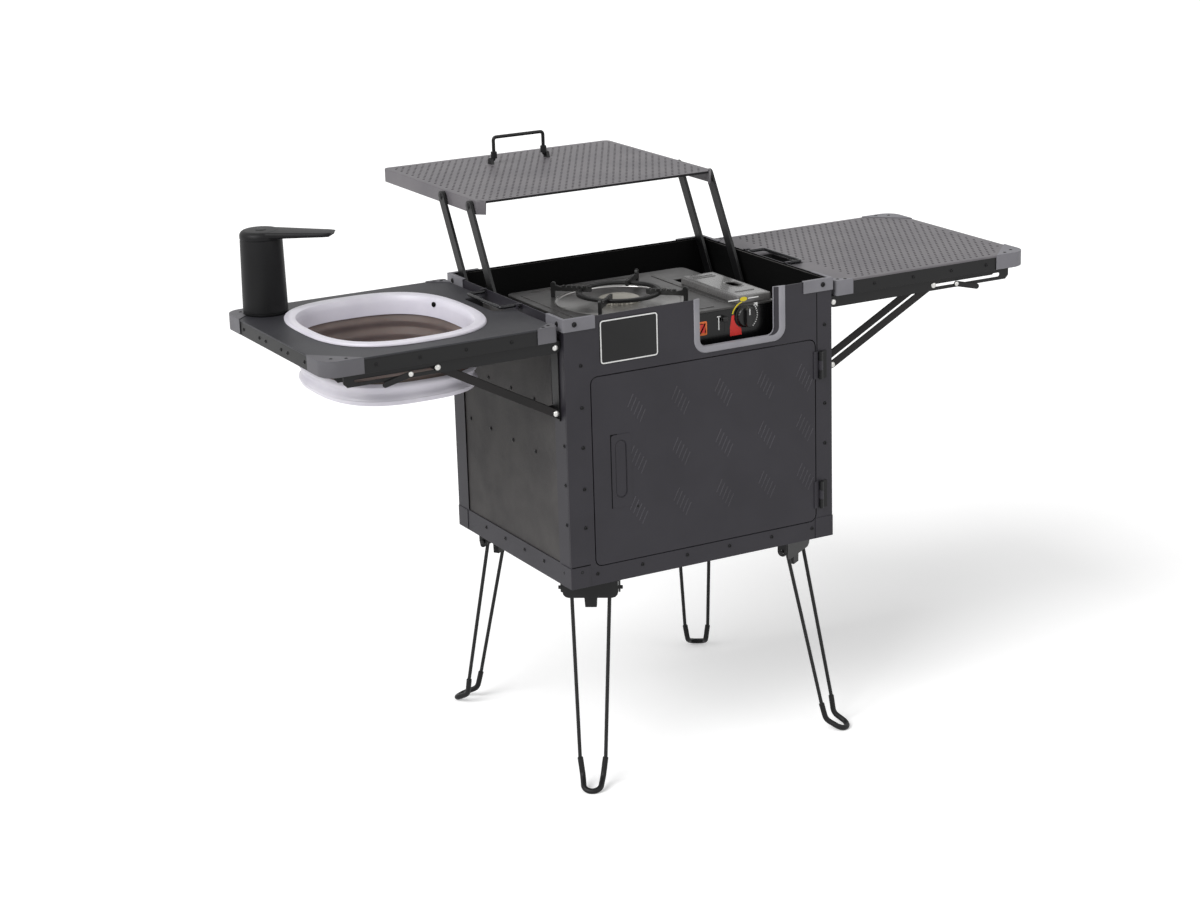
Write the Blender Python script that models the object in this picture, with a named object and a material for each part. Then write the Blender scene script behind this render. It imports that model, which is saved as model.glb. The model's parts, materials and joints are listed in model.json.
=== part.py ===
"""A camping chuck box: a sheet metal kitchen box on four folding wire legs.

Two side boards fold up level with the rim, the left one with a collapsing basin and a pump tap.
The lid swings up and back on four parallel links, over a cassette stove on a shelf. A door in the
front closes the storage bay below it.

Every length is in metres. X runs to the right, Y to the back, Z up. The pieces are modelled round
the middle of the box's bottom, and the parent empty lifts them to the height of the legs.
"""

import math

import bmesh
import bpy
from mathutils import Matrix, Vector

# Whole box
BOX_WIDTH = 0.480
BOX_DEPTH = 0.390
BOX_HEIGHT = 0.428
LEG_HEIGHT = 0.324
SHEET = 0.002
PANEL = 0.003
CLEAR = 0.0003
OVERRUN = 0.010

# Frame, panels, tray and shelf
REAR_POST = 0.037
BOTTOM_BAND = 0.035
TOP_BAND = 0.020
CAP_SHEET = 0.0015
CAP_WING = 0.055
CAP_HEIGHT = 0.020
CAP_LIP = 0.0060
FRONT_SHEET = 0.003
TRAY_LIP = 0.012
SHELF_DROP = 0.0985
SHELF_FRONT_GAP = 0.0015

# Door, its hinges and its pull
DOOR_LEFT_MARGIN = 0.044
DOOR_RIGHT_MARGIN = 0.032
DOOR_LOW = 0.031
DOOR_OVER_SHELF = 0.0015
DOOR_DEPTH = 0.012
DOOR_RADIUS = 0.010
DOOR_SEAM = 0.0015
HINGE_MARGIN = 0.023
HINGE_LEAF = 0.0120
HINGE_SHEET = 0.0012
HINGE_RADIUS = 0.0035
HINGE_PROUD_SHARE = 0.7
HINGE_HEIGHT = 0.045
HINGE_FROM_TOP = 0.042
HINGE_FROM_BOTTOM = 0.043
KNUCKLE_SHARE = 0.34
PULL_MARGIN = 0.048
PULL_DROP = 0.001
PULL_WIDTH = 0.018
PULL_HEIGHT = 0.091
PULL_SHEET = 0.0030

# Control window in the front
WINDOW_LEFT_REACH = 0.0962
WINDOW_RIGHT_REACH = 0.0407
WINDOW_OVER_SHELF = 0.0205
WINDOW_RADIUS = 0.012

# Stove
STOVE_WIDTH = 0.330
STOVE_DEPTH = 0.285
STOVE_OFFSET_SHARE = 0.2
STOVE_FRONT_GAP = 0.023
STOVE_HEIGHT = 0.0705
STOVE_RADIUS = 0.012
STOVE_SHEET = 0.0015
BURNER_OFFSET = 0.036
BURNER_BACK = 0.143
DRIP_RADIUS = 0.100
DRIP_DEPTH = 0.010
BURNER_RADIUS = 0.034
BURNER_RISE = 0.016
PAN_RING = 0.068
PAN_BAR = 0.005
PAN_BAR_HEIGHT = 0.010
PAN_ARM_IN = 0.045
PAN_ARM_OUT = 0.112
PAN_RISE = 0.0205
PAN_FOOT = 0.006
CAN_LID_REACH = 0.065
CAN_WALL = 0.0035
CAN_FRONT_MARGIN = 0.007
CAN_LID_LENGTH = 0.176
CAN_LID_RISE = 0.0120
CAN_HOLE_IN = 0.041
CAN_HOLE_BACK = 0.079
CAN_HOLE_WIDTH = 0.016
CAN_HOLE_LENGTH = 0.034
KNOB_MARGIN = 0.0572
KNOB_DROP = 0.018
KNOB_RADIUS = 0.018
KNOB_DEPTH = 0.015
LOCK_MARGIN = 0.097
LOCK_DROP = 0.017
LOCK_WIDTH = 0.010
LOCK_HEIGHT = 0.008
LOCK_DEPTH = 0.009
LOCK_STEM = 0.003
LOCK_SLOT_HEIGHT = 0.024
LOCK_SLOT_DEPTH = 0.006

# Lid, its handle and its links
LID_SIDE_GAP = 0.0047
LID_SET_BACK = 0.0742
LID_LENGTH = 0.364
LID_OVER_PIVOT = 0.0099
LID_FLANGE = 0.022
LID_CHAMFER = 0.012
LINK_LENGTH = 0.205
LINK_LEAN_DEG = 29.0
LINK_PITCH = 0.100
LINK_FROM_BACK = 0.1522
LINK_DROP = 0.0637
LINK_SIDE_GAP = 0.0115
LINK_SHEET = 0.0050
LINK_HALF_WIDTH = 0.009
LINK_PIN = 0.004
HANDLE_BACK = 0.283
HANDLE_HALF = 0.0475
HANDLE_RISE = 0.040
HANDLE_ROD = 0.003
HANDLE_SEAT = 0.005
HANDLE_LUG = 0.006
HANDLE_LUG_HALF = 0.0055

# Side handles at the rim
GRIP_OUT = 0.0045
GRIP_DROP = 0.0040
GRIP_HALF = 0.0555
GRIP_REACH = 0.0300
GRIP_ROD = 0.0028
GRIP_LUG = 0.006
GRIP_LUG_HALF_HEIGHT = 0.0048

# Side boards
PIVOT_OUT = 0.010
PIVOT_DROP = 0.0435
BOARD_LENGTH = 0.3765
BOARD_DEPTH_MARGIN = 0.0025
BOARD_RISE = 0.0342
BOARD_GAP = 0.0005
BOARD_RADIUS = 0.025
BOARD_INNER_RADIUS = 0.004
BOARD_EDGE = 0.014
BOARD_SHEET = 0.003
SLOT_HALF = 0.050
SLOT_REACH = 0.033

# Folding brackets under the boards, seen from the fold pivot
BRACKET_MARGIN = 0.0285
RAIL_HALF = 0.0112
RAIL_SHEET = 0.0022
RAIL_FOOT = 0.014
RAIL_HEAD = 0.0155
EAR_SHEET = 0.002
EAR_RADIUS = 0.0066
EAR_HALF_HEIGHT = 0.012
ARM_HALF = 0.0185
ARM_SHEET = 0.002
ARM_LOW = 0.0088
ARM_HIGH = 0.0097
ARM_WEB_START = 0.0070
ARM_END_MARGIN = 0.0315
ARM_END_RADIUS = 0.006
ARM_SLOT_START = 0.192
ARM_SLOT_MARGIN = 0.017
ARM_SLOT_HALF = 0.0034
STRUT_DROP = 0.1035
STRUT_REACH = 0.1947
STRUT_INNER = 0.0125
STRUT_SHEET = 0.0025
STRUT_HALF_WIDTH = 0.006
BRACKET_PIN = 0.003
LEVER_REACH = 0.239
LEVER_DROP = 0.003
LEVER_TIP_REACH = 0.041
LEVER_TIP_DROP = 0.0100
LEVER_HALF_WIDTH = 0.0045
LEVER_SHEET = 0.002

# Basin in the left board
BASIN_SHIFT = 0.00525
BASIN_Y = -0.001
BASIN_POWER = 2.7
RIM_MARGIN_X = 0.04925
RIM_MARGIN_Y = 0.0325
RIM_RISE = 0.0045
RIM_EDGE = 0.004
COLLAR_INSET_X = 0.015
COLLAR_INSET_Y = 0.0195
COLLAR_DEPTH = 0.026
COLLAR_WALL = 0.003
HOLE_CLEAR = 0.0012
BASIN_DROP = 0.0967
BASIN_FLOOR_LIP = 0.008
BASIN_FLOOR_SHEET = 0.003
BASIN_WALL = 0.0018
BASIN_PLEATS = 3
BASIN_PLEAT_DEPTH = 0.005
FLOOR_INSET = 0.005

# Pump tap on the left board
TAP_MARGIN_X = 0.052
TAP_MARGIN_Y = 0.040
TAP_FOOT_RADIUS = 0.035
TAP_RADIUS = 0.033
TAP_BODY_HEIGHT = 0.1173
TAP_HEAD_HEIGHT = 0.013
SPOUT_REACH = 0.1175
SPOUT_TURN_DEG = -42.6
SPOUT_SHEET = 0.010
SPOUT_ROOT_HALF = 0.027
SPOUT_TIP_HALF = 0.017

# Folding wire legs, seen from their trunnion
LEG_MARGIN_X = 0.0514
LEG_MARGIN_Y = 0.0355
LEG_DROP = 0.015
LEG_SWEEP_DEG = 57.0
LEG_SPLAY_SLOPE = 0.214
LEG_ROD = 0.003
LEG_SLEEVE = 0.0045
LEG_TRUNNION_HALF = 0.0505
LEG_TOP_HALF = 0.0300
LEG_SLEEVE_HALF = 0.020
LEG_BEND_HALF = 0.016
SLEEVE_OVER_FLOOR = 0.047
BEND_OVER_FLOOR = 0.018
LEG_SLEEVE_STEP = 0.0006
FOOT_RUN = 0.029
FOOT_FALL = 0.014
FOOT_LOOP = 0.014
LEG_FILLET = 0.006
MOUNT_BACK = 0.020
MOUNT_FRONT = 0.0092
MOUNT_HALF = 0.052
MOUNT_CORNER = 0.008
MOUNT_SHEET = 0.002
MOUNT_EAR_IN = 0.0440
MOUNT_EAR_SHEET = 0.0025
MOUNT_EAR_RADIUS = 0.008
STOP_FACE = 0.0068
STOP_DEPTH = 0.030
STOP_RADIUS = 0.010
LOCK_BLOCK_TOP_HALF = 0.012
LOCK_BLOCK_LOW_HALF = 0.009
LOCK_BLOCK_DEPTH = 0.047
LOCK_BLOCK_BACK = 0.006
LOCK_BLOCK_FRONT = 0.004

# How finely round shapes are cut up
CORNER_STEPS = 3
ROUND_COUNT = 20
PIN_COUNT = 8
BASIN_COUNT = 32
ROD_SIDES = 6
FILLET_STEPS = 2
FOOT_STEPS = 6
SMOOTH_DEG = 32.0

# The box's own planes
HALF_WIDTH = BOX_WIDTH / 2
HALF_DEPTH = BOX_DEPTH / 2
RIM_Z = BOX_HEIGHT - CAP_SHEET - CLEAR
FRAME_FRONT = -HALF_DEPTH + FRONT_SHEET + CLEAR
WALL_FACE_X = HALF_WIDTH - SHEET - CLEAR - PANEL
WALL_FACE_Y = HALF_DEPTH - SHEET - CLEAR - PANEL
SHELF_TOP = BOX_HEIGHT - SHELF_DROP

# The door's edges, hinges and pull
DOOR_LEFT = DOOR_LEFT_MARGIN - HALF_WIDTH
DOOR_RIGHT = HALF_WIDTH - DOOR_RIGHT_MARGIN
DOOR_HIGH = SHELF_TOP + DOOR_OVER_SHELF
HINGE_AXIS_X = HALF_WIDTH - HINGE_MARGIN
HINGE_AXIS_Y = -HALF_DEPTH - HINGE_SHEET - CLEAR - HINGE_RADIUS * HINGE_PROUD_SHARE
HINGE_MIDDLES = (DOOR_HIGH - HINGE_FROM_TOP, DOOR_LOW + HINGE_FROM_BOTTOM)
PULL_X = DOOR_LEFT + PULL_MARGIN
PULL_Z = (DOOR_LOW + DOOR_HIGH) / 2 - PULL_DROP

# The stove and the window before its knob
STOVE_MIDDLE = -STOVE_OFFSET_SHARE * (HALF_WIDTH - STOVE_WIDTH / 2)
STOVE_LEFT = STOVE_MIDDLE - STOVE_WIDTH / 2
STOVE_RIGHT = STOVE_MIDDLE + STOVE_WIDTH / 2
STOVE_FRONT = STOVE_FRONT_GAP - HALF_DEPTH
STOVE_BACK = STOVE_FRONT + STOVE_DEPTH
STOVE_TOP = SHELF_TOP + STOVE_HEIGHT
BURNER_X = STOVE_MIDDLE - BURNER_OFFSET
BURNER_Y = STOVE_FRONT + BURNER_BACK
PAN_TOP = STOVE_TOP + PAN_RISE
CAN_LEFT = STOVE_RIGHT - CAN_LID_REACH
CAN_FRONT = STOVE_FRONT + CAN_FRONT_MARGIN
CAN_BACK = CAN_FRONT + CAN_LID_LENGTH
CAN_LID_TOP = STOVE_TOP + CAN_LID_RISE
CAN_HOLE_X = CAN_LEFT + CAN_HOLE_IN
CAN_HOLE_Y = CAN_FRONT + CAN_HOLE_BACK
KNOB_X = STOVE_RIGHT - KNOB_MARGIN
KNOB_Z = STOVE_TOP - KNOB_DROP
LOCK_X = STOVE_RIGHT - LOCK_MARGIN
LOCK_Z = STOVE_TOP - LOCK_DROP
WINDOW_LEFT = KNOB_X - WINDOW_LEFT_REACH
WINDOW_RIGHT = KNOB_X + WINDOW_RIGHT_REACH
WINDOW_LOW = SHELF_TOP + WINDOW_OVER_SHELF

# The lid on its links
LINK_X = WALL_FACE_X - LINK_SIDE_GAP
LINK_Y = HALF_DEPTH - LINK_FROM_BACK
LINK_Z = BOX_HEIGHT - LINK_DROP
LINK_RISE = LINK_LENGTH * math.cos(math.radians(LINK_LEAN_DEG))
LINK_BACK = LINK_LENGTH * math.sin(math.radians(LINK_LEAN_DEG))
LID_HALF_WIDTH = LINK_X - LID_SIDE_GAP
LID_FRONT = LINK_Y + LID_SET_BACK
LID_BACK = LID_FRONT + LID_LENGTH
LID_TOP = LINK_Z + LINK_RISE + LID_OVER_PIVOT
HANDLE_Y = LID_FRONT + HANDLE_BACK
GRIP_X = HALF_WIDTH + GRIP_OUT
GRIP_Z = BOX_HEIGHT - GRIP_DROP

# The boards, with the basin and the tap
PIVOT_X = HALF_WIDTH + PIVOT_OUT
PIVOT_Z = BOX_HEIGHT - PIVOT_DROP
BOARD_OUT = PIVOT_X + BOARD_LENGTH
BOARD_HALF_DEPTH = HALF_DEPTH - BOARD_DEPTH_MARGIN
BOARD_TOP = PIVOT_Z + BOARD_RISE
BOARD_LOW = PIVOT_Z + ARM_HIGH + CLEAR
BOARD_IN = PIVOT_X + BOARD_GAP
BRACKET_Y = HALF_DEPTH - BRACKET_MARGIN
ARM_LENGTH = BOARD_LENGTH - ARM_END_MARGIN
ARM_SLOT_END = ARM_LENGTH - ARM_SLOT_MARGIN
BASIN_X = -PIVOT_X - BOARD_LENGTH / 2 - BASIN_SHIFT
RIM_HALF_X = BOARD_LENGTH / 2 - RIM_MARGIN_X
RIM_HALF_Y = BOARD_HALF_DEPTH - RIM_MARGIN_Y
COLLAR_HALF_X = RIM_HALF_X - COLLAR_INSET_X
COLLAR_HALF_Y = RIM_HALF_Y - COLLAR_INSET_Y
BASIN_FLOOR_LOW = BOARD_TOP - BASIN_DROP
TAP_X = TAP_MARGIN_X - BOARD_OUT
TAP_Y = BOARD_HALF_DEPTH - TAP_MARGIN_Y
TAP_BODY_TOP = BOARD_TOP + TAP_BODY_HEIGHT
TAP_TOP = TAP_BODY_TOP + TAP_HEAD_HEIGHT

# The legs, and where the whole part has its middle
LEG_X = HALF_WIDTH - LEG_MARGIN_X
LEG_Y = HALF_DEPTH - LEG_MARGIN_Y
LEG_SLEEVE_Z = LEG_DROP - LEG_HEIGHT + SLEEVE_OVER_FLOOR
LEG_BEND_Z = LEG_DROP - LEG_HEIGHT + BEND_OVER_FLOOR
FOOT_REACH = LEG_SPLAY_SLOPE * -LEG_BEND_Z + FOOT_RUN
LOOP_FLAT = FOOT_LOOP * FOOT_RUN / math.hypot(FOOT_RUN, FOOT_FALL)
LOOP_TURN = math.radians(LEG_SWEEP_DEG)
LOOP_SPREAD = math.hypot(LOOP_FLAT * math.sin(LOOP_TURN), FOOT_LOOP * math.cos(LOOP_TURN))
FRONT_REACH = LEG_Y + (FOOT_REACH - LOOP_FLAT) * math.sin(LOOP_TURN) + LOOP_SPREAD + LEG_SLEEVE
MIDDLE_Y = (LID_BACK - FRONT_REACH) / 2


def signed(names):
    """The first name with the minus side of the middle, and the second with the plus side."""
    return dict(zip(names, (-1, 1)))


SIDES = signed("lr")
ENDS = signed("fb")
CORNERS = {end + side: (SIDES[side], ENDS[end]) for end in ENDS for side in SIDES}


def clear_scene():
    for obj in list(bpy.data.objects):
        bpy.data.objects.remove(obj, do_unlink=True)


def look(name, colour, roughness, metallic=0.0):
    material = bpy.data.materials.new(name)
    material.use_nodes = True
    shader = material.node_tree.nodes["Principled BSDF"]
    shader.inputs["Base Color"].default_value = (*colour, 1.0)
    shader.inputs["Roughness"].default_value = roughness
    shader.inputs["Metallic"].default_value = metallic
    material.diffuse_color = (*colour, 1.0)
    return material


# Outlines in a plane


def arc(centre, radius, start_deg, end_deg, steps=CORNER_STEPS):
    points = []
    for step in range(steps + 1):
        angle = math.radians(start_deg + (end_deg - start_deg) * step / steps)
        points.append((centre[0] + radius * math.cos(angle), centre[1] + radius * math.sin(angle)))
    return points


def rectangle(left, right, low, high, radii=(0, 0, 0, 0)):
    """A rectangle with its corners rounded, listed from the low left one round to the high left one."""
    corners = ((left, low, 1, 1, 180), (right, low, -1, 1, 270))
    corners += ((right, high, -1, -1, 0), (left, high, 1, -1, 90))
    points = []
    for (x, y, inward_x, inward_y, start), radius in zip(corners, radii):
        if radius:
            centre = (x + inward_x * radius, y + inward_y * radius)
            points += arc(centre, radius, start, start + 90)
        else:
            points.append((x, y))
    return points


def circle(centre, radius, count=ROUND_COUNT):
    return arc(centre, radius, 0, 360, count)[:-1]


def bore(centre, radius):
    """The outline of a hole in which a pin of this radius turns freely."""
    return circle(centre, (radius + CLEAR) / math.cos(math.pi / PIN_COUNT), PIN_COUNT)


def stadium(first, second, radius, steps=CORNER_STEPS):
    """The outline of a bar with round ends about two centres."""
    turn = math.degrees(math.atan2(second[1] - first[1], second[0] - first[0]))
    points = arc(first, radius, turn + 90, turn + 270, 2 * steps)
    return points + arc(second, radius, turn - 90, turn + 90, 2 * steps)


def superellipse(half_x, half_y, count=BASIN_COUNT):
    points = []
    for step in range(count):
        angle = 2 * math.pi * step / count
        across, along = math.cos(angle), math.sin(angle)
        x = math.copysign(abs(across) ** (2 / BASIN_POWER), across)
        y = math.copysign(abs(along) ** (2 / BASIN_POWER), along)
        points.append((BASIN_X + half_x * x, BASIN_Y + half_y * y))
    return points


# Solids built in a bmesh


def lifted(point, axis, height):
    """The 3-D point of a plane point, on the plane at a height along X, Y or Z."""
    point = list(point)
    point.insert(axis, height)
    return point


def stack(rings, closed=False):
    """A skin through rings of points, with flat ends or, when closed, joined into a loop."""
    bm = bmesh.new()
    loops = [[bm.verts.new(point) for point in ring] for ring in rings]
    pairs = list(zip(loops, loops[1:]))
    if closed:
        pairs.append((loops[-1], loops[0]))
    else:
        bm.faces.new(loops[0])
        bm.faces.new(loops[-1])
    for low, high in pairs:
        for here, there in zip(range(len(low)), [*range(1, len(low)), 0]):
            bm.faces.new((low[here], low[there], high[there], high[here]))
    return bm


def slab(outline, axis, start, end, holes=()):
    """A flat plate of any outline, with any holes, extruded along an axis."""
    bm = bmesh.new()
    edges = []
    for loop in (outline, *holes):
        verts = [bm.verts.new(lifted(point, axis, start)) for point in loop]
        edges += [bm.edges.new(pair) for pair in zip(verts, verts[1:] + verts[:1])]
    if holes:
        bmesh.ops.triangle_fill(bm, edges=edges, use_beauty=True)
    else:
        bm.faces.new(bm.verts)
    grown = bmesh.ops.extrude_face_region(bm, geom=bm.faces[:])
    moved = [item for item in grown["geom"] if isinstance(item, bmesh.types.BMVert)]
    bmesh.ops.translate(bm, vec=lifted((0, 0), axis, end - start), verts=moved)
    return bm


def block(low, high):
    return slab(rectangle(low[0], high[0], low[1], high[1]), 2, low[2], high[2])


def fillet(points, cut):
    """The path with each inner corner rounded, from one cut length before it to one after it."""
    points = [Vector(point) for point in points]
    path = [points[0]]
    for before, corner, after in zip(points, points[1:], points[2:]):
        start = corner + (before - corner).normalized() * cut
        end = corner + (after - corner).normalized() * cut
        for step in range(FILLET_STEPS + 1):
            t = step / FILLET_STEPS
            path.append(start * (1 - t) ** 2 + corner * 2 * t * (1 - t) + end * t**2)
    path.append(points[-1])
    return path


def rod(path, radii, sides=ROD_SIDES):
    """A round bar along a path, with one radius or one for each point."""
    points = [Vector(point) for point in path]
    if isinstance(radii, float):
        radii = [radii] * len(points)
    normal = (points[1] - points[0]).orthogonal()
    rings = []
    for index, (point, radius) in enumerate(zip(points, radii)):
        after = points[min(index + 1, len(points) - 1)]
        before = points[max(index - 1, 0)]
        along = (after - before).normalized()
        normal = (normal - along * normal.dot(along)).normalized()
        side = along.cross(normal)
        ring = []
        for step in range(sides):
            angle = 2 * math.pi * (step + 0.5) / sides
            ring.append(point + (normal * math.cos(angle) + side * math.sin(angle)) * radius)
        rings.append(ring)
    return stack(rings)


def opened(mesh):
    """A bmesh of a mesh, to be worked further."""
    bm = bmesh.new()
    bm.from_mesh(mesh)
    return bm


def merged(*shapes):
    """One bmesh holding several that don't touch."""
    whole = shapes[0]
    for shape in shapes[1:]:
        mesh = bpy.data.meshes.new("loose")
        shape.to_mesh(mesh)
        shape.free()
        whole.from_mesh(mesh)
        bpy.data.meshes.remove(mesh)
    return whole


# Objects


def loose(name, bm):
    bmesh.ops.recalc_face_normals(bm, faces=bm.faces)
    mesh = bpy.data.meshes.new(name)
    bm.to_mesh(mesh)
    bm.free()
    obj = bpy.data.objects.new(name, mesh)
    bpy.context.scene.collection.objects.link(obj)
    return obj


def worked(name, base, joined=(), cut=()):
    """The mesh of a base shape with others joined to it, and then others cut from it."""
    body = loose(name, base)
    tools = []
    for operation, shapes in (("UNION", joined), ("DIFFERENCE", cut)):
        for shape in shapes:
            tool = loose(name + "_tool", shape)
            tool.hide_render = True
            tool.display_type = "WIRE"
            modifier = body.modifiers.new(operation.title(), "BOOLEAN")
            modifier.operation = operation
            modifier.solver = "EXACT"
            modifier.object = tool
            tools.append(tool)
    bpy.context.view_layer.update()
    graph = bpy.context.evaluated_depsgraph_get()
    mesh = bpy.data.meshes.new_from_object(body.evaluated_get(graph))
    for obj in (body, *tools):
        bpy.data.objects.remove(obj, do_unlink=True)
    return mesh


def place(name, mesh, material, parent, origin=(0, 0, 0), turn_deg=None):
    """The object of a mesh. With a turn its mesh is in its own frame, and otherwise in the box's."""
    origin = Vector(origin)
    mesh = mesh.copy()
    if turn_deg is None:
        mesh.transform(Matrix.Translation(-origin))
    mesh.shade_smooth()
    mesh.set_sharp_from_angle(angle=math.radians(SMOOTH_DEG))
    mesh.materials.clear()
    mesh.materials.append(material)
    obj = bpy.data.objects.new(name, mesh)
    obj.rotation_euler.z = math.radians(turn_deg or 0)
    obj.parent = parent
    while parent.type == "MESH":
        origin -= parent.location
        parent = parent.parent
    obj.location = origin
    bpy.context.scene.collection.objects.link(obj)
    return obj


# Box


def side_lugs(sign):
    """The two pressed ears on a side of the frame that carry its handle."""
    low, high = sorted((sign * (HALF_WIDTH - SHEET / 2), sign * (GRIP_X + GRIP_LUG_HALF_HEIGHT)))
    lugs = []
    for end in ENDS.values():
        near, far = sorted((end * (GRIP_HALF + GRIP_ROD + CLEAR), end * (GRIP_HALF + GRIP_ROD + GRIP_LUG)))
        bottom = GRIP_Z - GRIP_LUG_HALF_HEIGHT
        lugs.append(block((low, near, bottom), (high, far, BOX_HEIGHT - CLEAR)))
    return merged(*lugs)


def grip_bores(sign):
    length = GRIP_HALF + GRIP_ROD + GRIP_LUG + OVERRUN
    ring = bore((sign * GRIP_X, GRIP_Z), GRIP_ROD)
    return slab(ring, 1, -length, length)


def make_frame(parent, steel):
    shell = slab(
        rectangle(-HALF_WIDTH, HALF_WIDTH, FRAME_FRONT, HALF_DEPTH),
        2,
        0,
        RIM_Z,
        [rectangle(SHEET - HALF_WIDTH, HALF_WIDTH - SHEET, FRAME_FRONT + SHEET, HALF_DEPTH - SHEET)],
    )
    side_half = HALF_DEPTH - REAR_POST
    back_half = HALF_WIDTH - REAR_POST
    through = HALF_WIDTH + OVERRUN
    top = RIM_Z - TOP_BAND
    sides = block((-through, -side_half, BOTTOM_BAND), (through, side_half, top))
    back = block((-back_half, side_half, BOTTOM_BAND), (back_half, HALF_DEPTH + OVERRUN, top))
    front_low = (DOOR_LEFT - 2 * DOOR_SEAM, -HALF_DEPTH, DOOR_LOW - 2 * DOOR_SEAM)
    front_high = (DOOR_RIGHT + 2 * DOOR_SEAM, FRAME_FRONT + SHEET + OVERRUN, RIM_Z + OVERRUN)
    mesh = worked(
        "chassis_frame",
        shell,
        [merged(side_lugs(-1), side_lugs(1))],
        [sides, merged(back, block(front_low, front_high)), merged(grip_bores(-1), grip_bores(1))],
    )
    return place("chassis_frame", mesh, steel, parent)


def make_front_panel(parent, steel):
    outline = rectangle(-HALF_WIDTH, HALF_WIDTH, 0, RIM_Z)
    radii = (DOOR_RADIUS + DOOR_SEAM,) * 4
    door = rectangle(
        DOOR_LEFT - DOOR_SEAM, DOOR_RIGHT + DOOR_SEAM, DOOR_LOW - DOOR_SEAM, DOOR_HIGH + DOOR_SEAM, radii
    )
    window = rectangle(
        WINDOW_LEFT, WINDOW_RIGHT, WINDOW_LOW, RIM_Z + OVERRUN, (WINDOW_RADIUS, WINDOW_RADIUS, 0, 0)
    )
    plate = slab(outline, 1, -HALF_DEPTH, -HALF_DEPTH + FRONT_SHEET, [door])
    notch = slab(window, 1, -HALF_DEPTH - OVERRUN, -HALF_DEPTH + FRONT_SHEET + OVERRUN)
    mesh = worked("front_panel", plate, cut=[notch])
    place("front_panel", mesh, steel, parent)


def side_panel(sign):
    """A side panel with the two studs that the lid's links turn on."""
    inner, outer = sorted((sign * WALL_FACE_X, sign * (WALL_FACE_X + PANEL)))
    outline = rectangle(FRAME_FRONT + SHEET + CLEAR, WALL_FACE_Y + PANEL, SHEET + CLEAR, RIM_Z - SHEET)
    studs = []
    for step in range(2):
        ring = circle((LINK_Y + step * LINK_PITCH, LINK_Z), LINK_PIN, PIN_COUNT)
        root = WALL_FACE_X + PANEL / 2
        tip = LINK_X - LINK_SHEET / 2
        low, high = sorted((sign * root, sign * tip))
        studs.append(slab(ring, 0, low, high))
    return worked("side_panel", slab(outline, 0, inner, outer), [merged(*studs)])


def make_panels(parent, panel_look, steel):
    place("left_panel", side_panel(-1), panel_look, parent)
    place("right_panel", side_panel(1), panel_look, parent)
    inside = WALL_FACE_X - CLEAR
    back = block((-inside, WALL_FACE_Y, SHEET + CLEAR), (inside, WALL_FACE_Y + PANEL, RIM_Z - SHEET))
    place("back_panel", worked("back_panel", back), panel_look, parent)
    front = FRAME_FRONT + SHEET + CLEAR
    width = HALF_WIDTH - SHEET - CLEAR
    plate = block((-width, front, 0), (width, HALF_DEPTH - SHEET - CLEAR, SHEET))
    rear = WALL_FACE_Y - CLEAR
    ring = slab(
        rectangle(-inside, inside, front, rear),
        2,
        SHEET / 2,
        TRAY_LIP,
        [rectangle(SHEET - inside, inside - SHEET, front + SHEET, rear - SHEET)],
    )
    place("base_tray", worked("base_tray", plate, [ring]), steel, parent)
    shelf_front = -HALF_DEPTH + DOOR_DEPTH + SHELF_FRONT_GAP
    shelf = block((-inside, shelf_front, SHELF_TOP - SHEET), (inside, rear, SHELF_TOP))
    place("stove_shelf", worked("stove_shelf", shelf), steel, parent)


def make_top_caps(parent, cap_look):
    """A folded cap over each top corner: a lip on the rim and a wing down each outer face."""
    out_x = HALF_WIDTH + CLEAR + CAP_SHEET
    out_y = HALF_DEPTH + CLEAR + CAP_SHEET
    low = BOX_HEIGHT - CAP_HEIGHT
    under = BOX_HEIGHT - CAP_SHEET
    profile = ((0, low), (0, BOX_HEIGHT), (CAP_LIP, BOX_HEIGHT), (CAP_LIP, under), (CAP_SHEET, under))
    profile += ((CAP_SHEET, low),)
    for corner, (side, end) in CORNERS.items():
        rings = [
            [(side * (out_x - CAP_WING), end * (out_y - inward), z) for inward, z in profile],
            [(side * (out_x - inward), end * (out_y - inward), z) for inward, z in profile],
            [(side * (out_x - inward), end * (out_y - CAP_WING), z) for inward, z in profile],
        ]
        place("top_cap_" + corner, worked("top_cap", stack(rings)), cap_look, parent)


# Door


def hinge_leaf(middle, direction, shares):
    """A leaf beside the pin, its tongues out to the pin, and their knuckles, between height shares."""
    inner = HINGE_RADIUS + 2 * CLEAR
    front = -HALF_DEPTH - CLEAR - HINGE_SHEET
    back = -HALF_DEPTH - CLEAR
    half = HINGE_HEIGHT / 2
    near, far = sorted((HINGE_AXIS_X + direction * inner, HINGE_AXIS_X + direction * HINGE_LEAF))
    leaf = block((near, front, middle - half), (far, back, middle + half))
    near, far = sorted((HINGE_AXIS_X, HINGE_AXIS_X + direction * (inner + HINGE_SHEET)))
    ring = circle((HINGE_AXIS_X, HINGE_AXIS_Y), HINGE_RADIUS, PIN_COUNT)
    tongues = []
    knuckles = []
    for bottom, top in shares:
        low = middle + bottom * HINGE_HEIGHT
        high = middle + top * HINGE_HEIGHT
        tongues.append(block((near, front, low), (far, back, high)))
        knuckles.append(slab(ring, 2, low, high))
    return leaf, merged(*tongues), merged(*knuckles)


def make_hinges(parent, hinge_look):
    """The two fixed leaves, each with the outer knuckles."""
    split = KNUCKLE_SHARE / 2
    for name, middle in zip(("hinge_upper", "hinge_lower"), HINGE_MIDDLES):
        leaf, *rest = hinge_leaf(middle, 1, ((-0.5, -split), (split, 0.5)))
        place(name, worked(name, leaf, rest), hinge_look, parent)


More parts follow.
